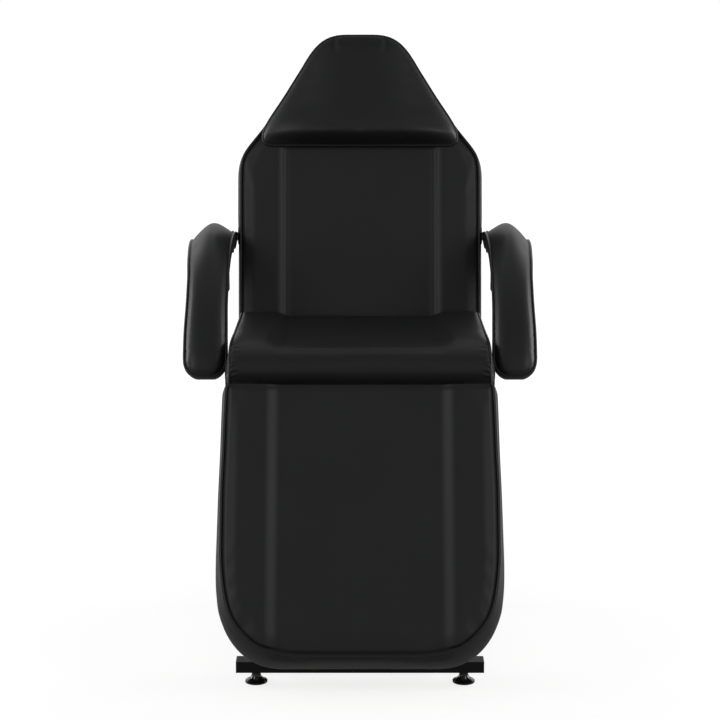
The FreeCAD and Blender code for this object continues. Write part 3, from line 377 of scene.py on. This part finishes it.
class Outline:
    """Half the width of a piece along its length, from a table, with round corners at its ends."""

    def __init__(self, table, low_radius=0.0, high_radius=0.0):
        self.table = table
        self.low = table[0][0]
        self.high = table[-1][0]
        self.corners = (low_radius, high_radius)

    def half(self, along):
        wide = smooth(self.table, along)
        for gap, radius in zip((along - self.low, self.high - along), self.corners):
            inside = np.clip(radius - np.maximum(gap, 0), 0, radius)
            wide = wide - radius + np.sqrt(radius ** 2 - inside ** 2)
        return wide

    def gap(self, across, along):
        """Distance in from the side edge, square to it."""
        slope = (self.half(along + 1) - self.half(along - 1)) / 2
        return (self.half(along) - np.abs(across)) / np.sqrt(1 + slope ** 2)

    def sheet(self, v, u, inset=0.0):
        """A flat grid that fills the outline, drawn in all round by the inset."""
        along = self.low + inset + (self.high - self.low - 2 * inset) * v
        half = np.maximum(self.half(along) - inset, 1)
        across = np.outer(half, u).ravel()
        return np.column_stack((across, np.repeat(along, len(u)), np.zeros(len(across))))


def smooth(table, places):
    """A curve without overshoot through a table of (place, value), read at many places."""
    x, y = np.array(table, float).T
    run = np.diff(x)
    rise = np.diff(y) / run
    slope = np.zeros(len(x))
    for i in range(1, len(x) - 1):
        if rise[i - 1] * rise[i] > 0:
            first, last = 2 * run[i] + run[i - 1], run[i] + 2 * run[i - 1]
            slope[i] = (first + last) / (first / rise[i - 1] + last / rise[i])
    slope[0], slope[-1] = rise[0], rise[-1]
    places = np.clip(places, x[0], x[-1])
    i = np.clip(np.searchsorted(x, places) - 1, 0, len(x) - 2)
    t = (places - x[i]) / run[i]
    h = run[i]
    return ((1 + 2 * t) * (1 - t) ** 2 * y[i] + t * (1 - t) ** 2 * h * slope[i]
            + t * t * (3 - 2 * t) * y[i + 1] + t * t * (t - 1) * h * slope[i + 1])


def ease(low, high, value):
    """From 0 at the low end to 1 at the high end, level at both."""
    t = np.clip((value - low) / (high - low), 0, 1)
    return t * t * (3 - 2 * t)


def bump(distance, width):
    return np.exp(-((distance / width) ** 2))


def edge_round(distance, run):
    """From 0 at an edge to 1 at the run from it, along a quarter circle."""
    t = np.clip(distance / run, 0, 1)
    return np.sqrt(np.maximum(0, 1 - (1 - t) ** 2))


def crowded(count, share):
    """Places from -1 to 1 that crowd towards the ends by a share."""
    u = np.linspace(-1, 1, count)
    return (1 - share) * u + share * np.sin(u * math.pi / 2)


# Paths and meshes

def mesh_object(name, points, faces):
    """A new object in the scene."""
    mesh = bpy.data.meshes.new(name)
    mesh.from_pydata([tuple(p) for p in points], [], [tuple(int(i) for i in f) for f in faces])
    item = bpy.data.objects.new(name, mesh)
    scene.collection.objects.link(item)
    return item


def worked_out(item):
    """The points and faces of an object after its modifiers. The object is then removed."""
    done = item.evaluated_get(bpy.context.evaluated_depsgraph_get()).data
    points = np.array([v.co for v in done.vertices], float)
    faces = np.array([tuple(p.vertices) for p in done.polygons])
    bpy.data.objects.remove(item)
    return points, faces


def make_piece(name, points, faces, material, body, rounded=True):
    piece = mesh_object(name, points, faces)
    mesh = piece.data
    mesh.materials.append(material)
    mesh.polygons.foreach_set("use_smooth", [rounded] * len(mesh.polygons))
    mesh.update()
    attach(piece, body)
    return piece


def quads(grid):
    corners = (grid[:-1, :-1], grid[:-1, 1:], grid[1:, 1:], grid[1:, :-1])
    return np.column_stack([corner.ravel() for corner in corners])


def ring_quads(first, second):
    return np.column_stack((first, second, np.roll(second, -1), np.roll(first, -1)))


def joined(parts):
    """Several (points, faces) as one."""
    points = []
    faces = []
    count = 0
    for some_points, some_faces in parts:
        points.append(some_points)
        faces += [tuple(int(i) + count for i in face) for face in some_faces]
        count += len(some_points)
    return np.vstack(points), faces


def lengths_along(path):
    """The length of a path up to each of its points."""
    return np.concatenate(([0], np.cumsum(np.linalg.norm(np.diff(path, axis=0), axis=1))))


def directions(path, closed):
    """Unit directions along a path at its points."""
    if closed:
        run = np.roll(path, -1, 0) - np.roll(path, 1, 0)
    else:
        run = np.gradient(path, axis=0)
    return run / np.maximum(np.linalg.norm(run, axis=1), tiny)[:, None]


def evened(path, step, closed, rounds=4):
    """A path with points at an even step, lightly smoothed."""
    loop = np.vstack((path, path[:1])) if closed else path
    length = lengths_along(loop)
    count = max(fewest_path_points, int(length[-1] / step))
    at = np.linspace(0, length[-1], count, endpoint=not closed)
    even = np.column_stack([np.interp(at, length, loop[:, k]) for k in range(3)])
    for turn in range(rounds):
        if closed:
            even = (np.roll(even, 1, 0) + 2 * even + np.roll(even, -1, 0)) / 4
        else:
            even[1:-1] = (even[:-2] + 2 * even[1:-1] + even[2:]) / 4
    return even


def tube(path, radii, closed):
    """A round tube along a path: its points and faces."""
    count = len(path)
    run = directions(path, closed)
    turn = np.linspace(0, 2 * math.pi, tube_sides, endpoint=False)
    aside = (0.31, 0.82, 0.47)
    side = np.cross(run[0], aside)
    rings = []
    for i in range(count):
        side = side - run[i] * side.dot(run[i])
        side /= np.linalg.norm(side)
        up = np.cross(run[i], side)
        ring = np.outer(np.cos(turn), side) + np.outer(np.sin(turn), up)
        rings.append(path[i] + radii[i] * ring)
    rows = np.arange(count * tube_sides).reshape(count, tube_sides)
    faces = [ring_quads(rows[i], rows[i + 1]) for i in range(count - 1)]
    if closed:
        shift = min(range(tube_sides), key=lambda k: np.linalg.norm(rings[-1][0] - rings[0][k]))
        faces.append(ring_quads(rows[-1], np.roll(rows[0], -shift)))
    polygons = [tuple(face) for face in np.vstack(faces)]
    if not closed:
        polygons += [tuple(rows[0]), tuple(rows[-1][::-1])]
    return np.vstack(rings), polygons


class Pad:
    """A closed cover in local millimetres: a front panel, a gusset round it, and a back.

    The height gives the panel's rise, and the swell how far the gusset bulges along its length.
    Folds, as (inset, rise), turn the cover in behind the board."""

    def __init__(self, front, back, rows, columns, rings, height, swell, folds=()):
        v = (1 - np.cos(np.linspace(0, math.pi, rows))) / 2
        u = crowded(columns, share=0.4)
        panel = front.sheet(v, u)
        panel[:, 2] = height(panel[:, 0], panel[:, 1], np.tile(u, rows))
        base = back.sheet(v, u)
        grid = np.arange(rows * columns).reshape(rows, columns)
        edge = np.concatenate((grid[0, :-1], grid[:-1, -1], grid[-1, :0:-1], grid[:0:-1, 0]))
        rim, foot = panel[edge], base[edge]
        run = directions((rim + foot)[:, :2], closed=True)
        out = np.column_stack((run[:, 1], -run[:, 0], np.zeros(len(run))))
        bands = []
        for share in np.arange(1, rings + (1 if folds else 0)) / rings:
            bulge = out * (smooth(swell, rim[:, 1]) * math.sin(math.pi * share))[:, None]
            bands.append(rim * (1 - share) + foot * share + bulge)
        for inset, rise in folds:
            base = back.sheet(v, u, inset)
            base[:, 2] = rise
            bands.append(base[edge])
        points = [panel]
        faces = [quads(grid)]
        ring = edge
        count = len(panel)
        for band in bands:
            points.append(band)
            after = count + np.arange(len(edge))
            faces.append(ring_quads(ring, after))
            ring = after
            count += len(edge)
        points.append(base + (0, 0, tuck if folds else 0))
        faces.append(ring_quads(ring, count + edge))
        faces.append(quads(count + grid)[:, ::-1])
        self.points = np.vstack(points)
        self.faces = np.vstack(faces)
        self.edge = edge
        right = grid[:, -1]
        left = grid[::-1, 0]
        self.seams = {
            "": edge,
            "low": np.concatenate((right, grid[-1, -2:0:-1], left)),
            "high": np.concatenate((left, grid[0, 1:-1], right)),
        }
        self.hem = (bands[-1] + bands[-2]) / 2 if folds else None
        first_fold = count - len(edge) * len(folds)
        self.held = np.concatenate((edge, np.arange(first_fold, len(self.points))))


def stuffed(points, faces, held, pressure, cap):
    """The cover after it is filled: a short cloth run with pressure inside and the seams held.

    No point moves further than the cap."""
    cover = mesh_object("filling", points * mm, faces)
    group = cover.vertex_groups.new(name="held")
    group.add([int(i) for i in held], 1.0, "REPLACE")
    cloth = cover.modifiers.new("filling", "CLOTH")
    for key, value in cloth_settings.items():
        setattr(cloth.settings, key, value)
    cloth.settings.uniform_pressure_force = pressure
    cloth.settings.effector_weights.gravity = 0
    cloth.collision_settings.use_collision = False
    cloth.point_cache.frame_start = 1
    cloth.point_cache.frame_end = fill_frames
    for step in range(1, fill_frames + 1):
        scene.frame_set(step)
    after = worked_out(cover)[0] / mm
    scene.frame_set(1)
    moved = after - points
    length = np.maximum(np.linalg.norm(moved, axis=1), tiny)
    return points + moved * np.minimum(1, cap / length)[:, None]


def refined(points, faces):
    """The mesh after one smooth subdivision."""
    cover = mesh_object("fine", points, faces)
    finer = cover.modifiers.new("fine", "SUBSURF")
    finer.levels = 1
    return worked_out(cover)


def welt(name, path, section, closed, body):
    """Piping: a round cord in a strip of the cover."""
    path = section.world(evened(path, welt_step, closed))
    points, faces = tube(path, np.full(len(path), welt_radius * mm), closed)
    make_piece(name, points, faces, welt_leather, body)


def staples(name, path, section, body):
    """Wire staples in a row along a hem."""
    spots = evened(path, staple_step, closed=True, rounds=0)
    parts = []
    for spot, along in zip(spots, directions(spots, closed=True)):
        length = along * staple_length / 2
        width = np.array((-along[1], along[0], 0)) * staple_wire / 2
        corners = [spot + length * i + width * j + (0, 0, k * staple_wire)
                   for k in (-1, 1) for i, j in square]
        parts.append((section.world(np.array(corners)), box_faces))
    points, faces = joined(parts)
    make_piece(name, points, faces, finishes["zinc_steel"], body, rounded=False)


# Sewn detail: each of these moves the points of a filled cover.

def recess(points, crease, low, high, depth):
    """Sinks the centre panel between two soft ramps."""
    across, along, rise = points.T
    inside = 1 - ease(crease - ramp_half, crease + ramp_half, np.abs(across))
    span = ease(low, low + recess_fade, along) * (1 - ease(high - recess_fade, high, along))
    points[:, 2] -= ease(*panel_rises, rise) * span * inside * depth


def pinch(points, outline, depth, face):
    """Draws the front panel, which lies above a rise, in along its seams."""
    across, along, rise = points.T
    ends = np.minimum(along - outline.low, outline.high - along)
    gap = np.minimum(outline.gap(across, along), ends)
    seam = bump(gap - welt_radius, seam_width)
    points[:, 2] -= ease(face - seam_fade, face, rise) * depth * seam


def fold_line(points, crease, low, high, depth, width):
    """A narrow sewn line along each ramp."""
    across, along, rise = points.T
    span = ease(low, low + fold_fade, along) * (1 - ease(high - fold_fade, high, along))
    points[:, 2] -= ease(*panel_rises, rise) * span * depth * bump(np.abs(across) - crease, width)


def ripples(points, seed, size, depth):
    """Slow unevenness of a filled cover."""
    random = np.random.default_rng(seed)
    across, along, rise = points.T
    wave = np.zeros(len(points))
    for turn in range(ripple_waves):
        direction = random.uniform(0, math.pi)
        length = size * random.uniform(*ripple_size_shares)
        phase = random.uniform(0, 2 * math.pi)
        way = across * math.cos(direction) + along * math.sin(direction)
        wave += np.sin(way * 2 * math.pi / length + phase)
    points[:, 2] += ease(*ripple_rises, rise) * wave * depth * ripple_share


def puckers(points, seed, spots, length, depth):
    """Short gathers that run in from a seam at a list of (across, along, direction in degrees)."""
    random = np.random.default_rng(seed)
    across, along = points.T[:2]
    for x, y, direction in spots:
        angle = math.radians(direction + random.uniform(-pucker_turn, pucker_turn))
        u = (across - x) * math.cos(angle) + (along - y) * math.sin(angle)
        v = -(across - x) * math.sin(angle) + (along - y) * math.cos(angle)
        reach = length * random.uniform(*pucker_length_shares)
        fade = ease(*pucker_start, u) * (1 - ease(reach * pucker_fade_share, reach, u))
        ridge = pucker_ridge_share * bump(v - pucker_ridge_at, pucker_ridge_width)
        fold = ridge - random.uniform(*pucker_depth_shares) * bump(v, pucker_width)
        points[:, 2] += depth * fade * fold


def both_sides(across, places):
    """Gathers that run inwards from both long edges."""
    return [(side * across, along, 90 + 90 * side) for side in (-1, 1) for along in places]


def upholster(name, pad, section, body, node, shape, pressure, cap, plain_end="", stapled=False):
    """Fills a pad, gives it its sewn detail, and puts its cover, piping and staples in place.

    A plain end, low or high, has no piping."""
    points = stuffed(pad.points, pad.faces, pad.held, pressure, cap)
    fine, faces = refined(points, pad.faces)
    shape(fine)
    leather = finishes["upholstery"]
    cover = make_piece(f"{name}_cover", section.world(fine), faces, leather, body)
    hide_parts(node)
    welt(f"{name}_piping", points[pad.seams[plain_end]], section, not plain_end, body)
    if stapled:
        staples(f"{name}_staples", pad.hem, section, body)


# Pieces. Outlines are tables of (along, half width).

def backrest():
    section = Section("backrest_recline", lean=15, face=30)
    front = Outline([
        (-62, 272), (-50, 277), (-36, 279), (400, 280), (430, 277), (450, 268), (475, 249), (501, 228),
        (525, 211), (572, 178), (619, 149), (667, 120), (691, 103), (708, 84), (717, 60), (719, 40)])
    back = Outline([
        (-64, 272), (-50, 279), (-36, 280), (400, 281), (430, 278), (450, 269), (475, 250), (501, 229),
        (525, 212), (572, 179), (619, 150), (667, 121), (691, 104), (708, 85), (717, 61), (719, 42)])
    swell = [(-64, 5), (-20, 6.3), (230, 6.3), (310, 8), (390, 8), (450, 6), (719, 4.5)]
    low_run = 30
    head_run = 50
    head_start = 640
    head_fall = 22
    crease_start = -70
    fold_in = 3

    def height(across, along, u):
        side = edge_round(front.gap(across, along), edge_run)
        ends = edge_round(along - front.low, low_run) * edge_round(front.high - along, head_run)
        thinner = head_fall * ease(head_start, front.high, along)
        return lip_height + (wing_height - lip_height) * side * ends - thinner

    def shape(points):
        pinch(points, front, seam_dip, panel_low)
        recess(points, back_crease, crease_start, high=560, depth=centre_dip)
        fold_line(points, back_crease - fold_in, crease_start, high=500, depth=2.0, width=3.0)
        ripples(points, seed=11, size=260, depth=0.6)
        puckers(points, seed=3, spots=both_sides(272, (80, 170, 260, 350)), length=30, depth=0.8)

    pad = Pad(front, back, 96, cushion_columns, cushion_rings, height, swell, hem_folds)
    upholster("backrest", pad, section, "backrest", "backrest_cushion", shape,
              pressure=0.5, cap=2.2, plain_end="low", stapled=True)


def legrest():
    section = Section("legrest_lift", lean=25, face=20)
    front = Outline([
        (-564, 118), (-562, 146), (-558, 168), (-548, 202), (-533, 225), (-517, 241), (-487, 263),
        (-452, 275), (-400, 283), (-351, 286), (-248, 286), (-143, 283), (-38, 280), (-3, 278)],
        high_radius=2)
    back = Outline([
        (-586, 155), (-583, 186), (-567, 227), (-544, 255), (-507, 279), (-460, 294), (-407, 298),
        (-351, 297), (-248, 294), (-143, 291), (-38, 289), (-3, 288)],
        high_radius=2)
    swell = [(-586, 5), (-20, 5), (-3, 1.5)]
    foot_run = 40
    knee_run = 14
    knee_start = -60
    knee_rise = 5

    def height(across, along, u):
        side = edge_round(front.gap(across, along), edge_run)
        ends = edge_round(along - front.low, foot_run) * edge_round(front.high - along, knee_run)
        lip = lip_height + knee_rise * ease(knee_start, front.high, along)
        return lip + (wing_height - lip) * side * ends

    def shape(points):
        pinch(points, front, seam_dip, panel_low)
        recess(points, leg_crease, low=-582, high=20, depth=centre_dip)
        ripples(points, seed=23, size=300, depth=0.5)

    pad = Pad(front, back, 84, cushion_columns, cushion_rings, height, swell, hem_folds)
    upholster("legrest", pad, section, "legrest", "legrest_cushion", shape,
              pressure=0.5, cap=2.2, plain_end="high", stapled=True)


def pillow():
    section = Section("backrest_recline", lean=15, face=108.6)
    front = Outline([
        (464, 212), (467, 222), (474, 228), (486, 228), (501, 224), (525, 211), (548, 196), (572, 180),
        (596, 165), (619, 151), (643, 136), (667, 122), (691, 105), (708, 87), (719, 65), (723, 44)])
    thickness = [(464, 50), (490, 54), (560, 44), (640, 32), (723, 20)]
    underside_shares = [(464, 0), (469, 0.2), (487, 0.9), (492, 0.98), (499, 1)]
    swell = [(464, 1.5), (723, 1.5)]
    seam_rise = 5
    head_run = 30
    edge_power, edge_root = 3, 0.6
    strap_half = 60
    gather_along, gather_rises = (672, 704), (8, 16)
    roll_end, roll_rises = (490, 515), (10, 20)
    roll_wave, roll_size, roll_drift, drift_size = 1.4, 21, 1.3, 47
    back_clearance = 0.2

    def height(across, along, u):
        edge = np.maximum(1 - np.abs(u) ** edge_power, 0) ** edge_root
        crown = edge * smooth(underside_shares, along) * edge_round(front.high - along, head_run)
        return seam_rise + (smooth(thickness, along) - seam_rise) * crown

    def shape(points):
        across, along, rise = points.T
        for x in (-strap_half, strap_half):
            fade = ease(*gather_along, along) * ease(*gather_rises, rise)
            points[:, 2] += fade * (1.2 * bump(across - x * 0.8, 8) - 1.8 * bump(across - x, 6))
        ripples(points, seed=31, size=170, depth=0.4)
        low = ease(*roll_rises, rise) * (1 - ease(*roll_end, along))
        drift = roll_drift * np.sin(across / drift_size)
        points[:, 2] += roll_wave * low * np.sin(across / roll_size + drift)

    pad = Pad(front, front, rows=60, columns=64, rings=3, height=height, swell=swell)
    pad.points[pad.held[len(pad.edge):], 2] += back_clearance
    upholster("head_pillow", pad, section, "head_pillow", "head_pillow", shape,
              pressure=1.0, cap=3.0)


def armrest(side_name, side):
    body = f"{side_name}_armrest"
    middles = [(-497, 333), (-411, 334), (-240, 336.3), (-158, 339), (-20, 342), (134, 344)]
    bow = Bow(f"{body}_pivot", side, radius=467.0, apex_ahead=107.0, middles=middles)
    front = Outline([
        (-497, 45), (-411, 45.3), (-304, 43.2), (-240, 43.5), (-158, 46.2), (-20, 50), (134, 52)],
        low_radius=34, high_radius=30)
    swell = [(-497, 2), (134, 2)]
    seam_drop = 1
    flat_share = 0.55
    bell_share = 0.75
    tilt_power = 1.6
    crown_along, tilt_along = (-280, -60), (-250, -80)

    def height(across, along, u):
        bell = bell_share * np.cos(u * math.pi / 2) ** 2 + (1 - bell_share) * (1 - u * u)
        level = flat_share * (1 - u ** 4)
        crown = level + (bell - level) * ease(*crown_along, along)
        ends = edge_round(along - front.low, arm_end_run) * edge_round(front.high - along, arm_end_run)
        outward = np.clip(u * side, 0, 1) ** tilt_power
        inward = np.clip(-u * side, 0, 1) ** tilt_power
        tilt = (arm_lift * inward - arm_fall * outward) * ease(*tilt_along, along)
        return arm_edge_rise - seam_drop + arm_rise * crown * ends + tilt

    def shape(points):
        pinch(points, front, depth=1.6, face=18)
        ripples(points, seed=41 + side, size=140, depth=0.4)
        gathers = both_sides(48, (-470, -440, -400, 20, 60))
        puckers(points, seed=9 + side, spots=gathers, length=20, depth=0.8)

    pad = Pad(front, front, 84, arm_columns, arm_rings, height, swell, arm_folds)
    upholster(body, pad, bow, body, f"{body}_pad", shape, pressure=0.8, cap=2.5)


def seat():
    """The seat panel runs from the rear over the top and down the front; its sides are gussets."""
    level = Level("seat_board")
    line = np.array([
        (168, -12.6), (177, -9), (179, 4), (180, 30), (180, 58), (177, 70), (168, 76), (150, 78),
        (0, 78), (-120, 78), (-165, 76.5), (-198, 72), (-224, 63), (-241, 50), (-250, 35), (-253, 19),
        (-252, 5), (-248, -5), (-242, -11), (-234, -12.6)], float)
    widths = [(-254, 277), (-246, 278), (-228, 278), (-150, 277), (-60, 275), (180, 273)]
    rows, columns, rings = 100, 76, 7
    side_swell = 5
    nose_swell = 7
    nose_ahead, gusset_rises, lip_rises = (150, 240), (-12, 20), (-6, 60)
    length = lengths_along(line)
    at = np.linspace(0, length[-1], rows)
    y = smooth(list(zip(length, line[:, 0])), at)
    z = smooth(list(zip(length, line[:, 1])), at)
    u = crowded(columns, share=0.3)
    half = smooth(widths, y)
    base_y = np.linspace(line[0, 0], line[-1, 0], rows)
    base_z = line[0, 1]
    steps = np.arange(1, rings) / rings
    loops = []
    for i in range(rows):
        x = half[i] * u
        sides = 1 - edge_round(half[i] - np.abs(x), edge_run)
        drop = (wing_height - lip_height) * sides * ease(*lip_rises, z[i])
        panel = np.column_stack((x, np.full(columns, y[i]), z[i] - drop))
        swell = (side_swell + nose_swell * ease(*nose_ahead, -y[i])) * ease(*gusset_rises, z[i])
        right = np.column_stack((
            half[i] + swell * np.sin(math.pi * steps),
            y[i] + (base_y[i] - y[i]) * steps,
            panel[-1, 2] + (base_z - panel[-1, 2]) * steps))
        base = np.column_stack((x[::-1], np.full(columns, base_y[i]), np.full(columns, base_z)))
        loops.append(np.vstack((panel, right, base, right[::-1] * (-1, 1, 1))))
    points = np.vstack(loops)
    grid = np.arange(len(points)).reshape(rows, -1)
    faces = np.vstack([ring_quads(grid[i + 1], grid[i]) for i in range(rows - 1)])
    under = grid[:, columns + rings - 1:2 * columns + rings - 1]
    seams = {"left": grid[:, 0], "right": grid[:, columns - 1]}
    held = np.concatenate((seams["left"], seams["right"], under.ravel(), grid[0], grid[-1]))
    points = stuffed(points, faces, held, pressure=0.9, cap=3.0)
    fine, fine_faces = refined(points, faces)
    sewn_seat(fine, widths)
    leather = finishes["upholstery"]
    cover = make_piece("seat_cover", level.world(fine), fine_faces, leather, "base")
    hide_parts("seat_cushion")
    for side_name, seam in seams.items():
        welt(f"seat_{side_name}_piping", points[seam], level, False, "base")


def sewn_seat(points, widths):
    """The seat's sunk centre, raised wings, gathers and creased front corners."""
    top_rises, sunk_along = (40, 66), (-230, -150)
    seat_dip = 10.0
    wing_rise = 3.2
    wing_inner, wing_outer = (back_crease + 10, back_crease + 26), (258, 272)
    wing_front, wing_rear = (-225, -150), (-74, -58)
    corner_ahead, corner_rises, corner_gap = (232, 246), (4, 16), (4, 24)
    crease_depth, crease_turn, crease_lean = 1.5, 0.55, 0.12

    across, along, rise = points.T
    out = np.abs(across)
    inside = 1 - ease(back_crease - ramp_half, back_crease + ramp_half, out)
    top = ease(*top_rises, rise)
    points[:, 2] -= top * inside * seat_dip * ease(*sunk_along, along)
    points[:, 2] += top * inside * (1.0 * bump(along + 240, 9) - 1.4 * bump(along + 222, 8))
    wing = ease(*wing_inner, out) * (1 - ease(*wing_outer, out))
    wing = wing * ease(*wing_front, along) * (1 - ease(*wing_rear, along))
    points[:, 2] += top * wing * wing_rise
    ripples(points, seed=53, size=220, depth=0.7)
    puckers(points, seed=13, spots=both_sides(272, (-196, -214, -230)), length=24, depth=1.3)
    gap = smooth(widths, along) - out
    corner = ease(*corner_ahead, -along) * ease(*corner_rises, rise) * (1 - ease(*corner_gap, gap))
    points[:, 1] -= corner * crease_depth * np.sin(rise * crease_turn - gap * crease_lean)


def weld_beads():
    """A bead round each end of the slanted posts."""
    level_reach = 1 * mm
    parts = []
    for name in ("left_front_post", "right_front_post", "left_rear_post", "right_rear_post"):
        corners = np.array([v.co for v in nodes[name].data.vertices], float)
        for level in (corners[:, 2].min(), corners[:, 2].max()):
            end = corners[np.abs(corners[:, 2] - level) < level_reach]
            middle = (end.min(0) + end.max(0)) / 2
            half = (end.max(0) - end.min(0)) / 2
            loop = [(middle[0] + i * half[0], middle[1] + j * half[1], level) for i, j in square]
            path = evened(np.array(loop), bead_step * mm, closed=True)
            wave = bead_wave_share * np.sin(np.arange(len(path)) * bead_wave_turn)
            parts.append(tube(path, bead_radius * mm * (1 + wave), closed=True))
    points, faces = joined(parts)
    make_piece("post_weld_beads", points, faces, finishes["frame_paint"], "base")


def lever_grips():
    """A moulded sleeve on the hanging end of each release lever."""
    tip_reach = 2 * mm
    rim, end_run, top_run = 0.5, 6, 3
    ridge_start, ridge_end = (12, 16), (44, 48)
    rise = np.linspace(0, grip_length, grip_rings)
    radii = grip_radius * edge_round(rise + rim, end_run) * edge_round(grip_length + rim - rise, top_run)
    span = ease(*ridge_start, rise) * (1 - ease(*ridge_end, rise))
    ridges = span * np.cos(rise * grip_ridge_turn)
    for body in ("back_release", "leg_release"):
        points = np.array([v.co for v in nodes[f"{body}_rod"].data.vertices], float)
        low = points[:, 2].min()
        tip = points[points[:, 2] < low + tip_reach]
        path = np.tile((tip.min(0) + tip.max(0)) / 2, (grip_rings, 1))
        path[:, 2] = low + (rise - grip_cap) * mm
        sleeve, faces = tube(path, (radii + grip_ridge * ridges) * mm, closed=False)
        make_piece(f"{body}_grip", sleeve, faces, finishes["cap_plastic"], body)


def dress_frame():
    """Finish on the pieces that come from the frame, with their sharp edges broken a little."""
    edge_breaks = {"frame_paint": 1.2, "plywood": 0.6, "zinc_steel": 0.5, "cap_plastic": 0.6}
    for row in frame["record"]["subparts"]:
        node = nodes[row["node"]]
        kind = row["material_slot"]
        node.data.materials.clear()
        node.data.materials.append(finishes[kind])
        if kind in edge_breaks:
            weld = node.modifiers.new("weld", "WELD")
            weld.merge_threshold = 0.01 * mm
            bevel = node.modifiers.new("bevel", "BEVEL")
            bevel.width = edge_breaks[kind] * mm
            bevel.segments = 2
            bevel.limit_method = "ANGLE"
            bevel.angle_limit = math.radians(40)


# Studio, in metres

def white_floor():
    floor_half = 30.0
    finish = Finish("white_floor")
    reach = finish.node("VectorMath", {"operation": "LENGTH"}, {0: finish.place()}, "Value")
    level = finish.ramp(reach * 0.25, ((0.2, 0.8), (0.5, 1.0)))
    white = finish.node("Emission", {}, {"Color": level, "Strength": 1.0})
    matt = finish.node("BsdfDiffuse", {}, {"Color": grey(0.4)})
    dim = finish.node("BsdfDiffuse", {}, {"Color": grey(0.3)})
    lit = finish.node("AddShader", {}, {0: white, 1: dim})
    seen = finish.node("LightPath", {}, {}, "Is Camera Ray")
    mixed = finish.node("MixShader", {}, {0: seen, 1: matt, 2: lit})
    finish.node("OutputMaterial", {}, {"Surface": mixed})
    corners = [(i * floor_half, j * floor_half, 0) for i, j in square]
    floor = mesh_object("floor", corners, [range(len(corners))])
    floor.data.materials.append(finish.material)


def surroundings():
    """White to the camera; as a light it is dim ahead and overhead and bright behind the chair."""
    world = bpy.data.worlds.new("studio")
    world.use_nodes = True
    scene.world = world
    sky = Finish("studio", world.node_tree)
    seen = sky.node("LightPath", {}, {}, "Is Camera Ray")
    direction = sky.node("TexCoord", {}, {}, "Generated")
    toward = sky.node("SeparateXYZ", {}, {0: direction}, "Y")
    upward = sky.node("SeparateXYZ", {}, {0: direction}, "Z")
    level = sky.ramp(toward * 0.5 + 0.5, ((0.0, 0.33), (0.3, 0.36), (0.6, 0.53), (1.0, 0.9)))
    overhead = sky.ramp(upward, ((0.2, 1.0), (0.9, 0.45)))
    plain = sky.node("Background", {}, {"Color": level * overhead, "Strength": 1.0})
    bright = sky.node("Background", {}, {"Color": (1, 1, 1, 1), "Strength": 1.0})
    mixed = sky.node("MixShader", {}, {0: seen, 1: plain, 2: bright})
    sky.node("OutputWorld", {}, {"Surface": mixed})


def softboxes():
    aim = Vector((0, 0, 0.7))
    lamps = (
        ("left_front_softbox", (-2.5, -2.6, 2.2), 0.9, 2.4, 20),
        ("right_front_softbox", (2.5, -2.6, 2.2), 0.9, 2.4, 20),
        ("left_softbox", (-2.8, 0.8, 1.2), 1.4, 2.6, 45),
        ("right_softbox", (2.8, 0.8, 1.2), 1.4, 2.6, 45),
    )
    for name, at, wide, tall, power in lamps:
        lamp = bpy.data.lights.new(name, "AREA")
        lamp.shape = "RECTANGLE"
        lamp.size = wide
        lamp.size_y = tall
        lamp.energy = power
        item = bpy.data.objects.new(name, lamp)
        item.location = at
        item.rotation_euler = (aim - item.location).to_track_quat("-Z", "Y").to_euler()
        scene.collection.objects.link(item)


def front_camera():
    camera = bpy.data.cameras.new("camera")
    camera.lens = 102.38
    camera.sensor_width = 36
    view = bpy.data.objects.new("camera", camera)
    view.location = (0, -4.5, 1.591)
    view.rotation_euler = (math.radians(78.17), 0, 0)
    scene.collection.objects.link(view)
    scene.camera = view


backrest()
legrest()
seat()
pillow()
armrest("left", -1)
armrest("right", 1)
weld_beads()
lever_grips()
dress_frame()
white_floor()
surroundings()
softboxes()
front_camera()
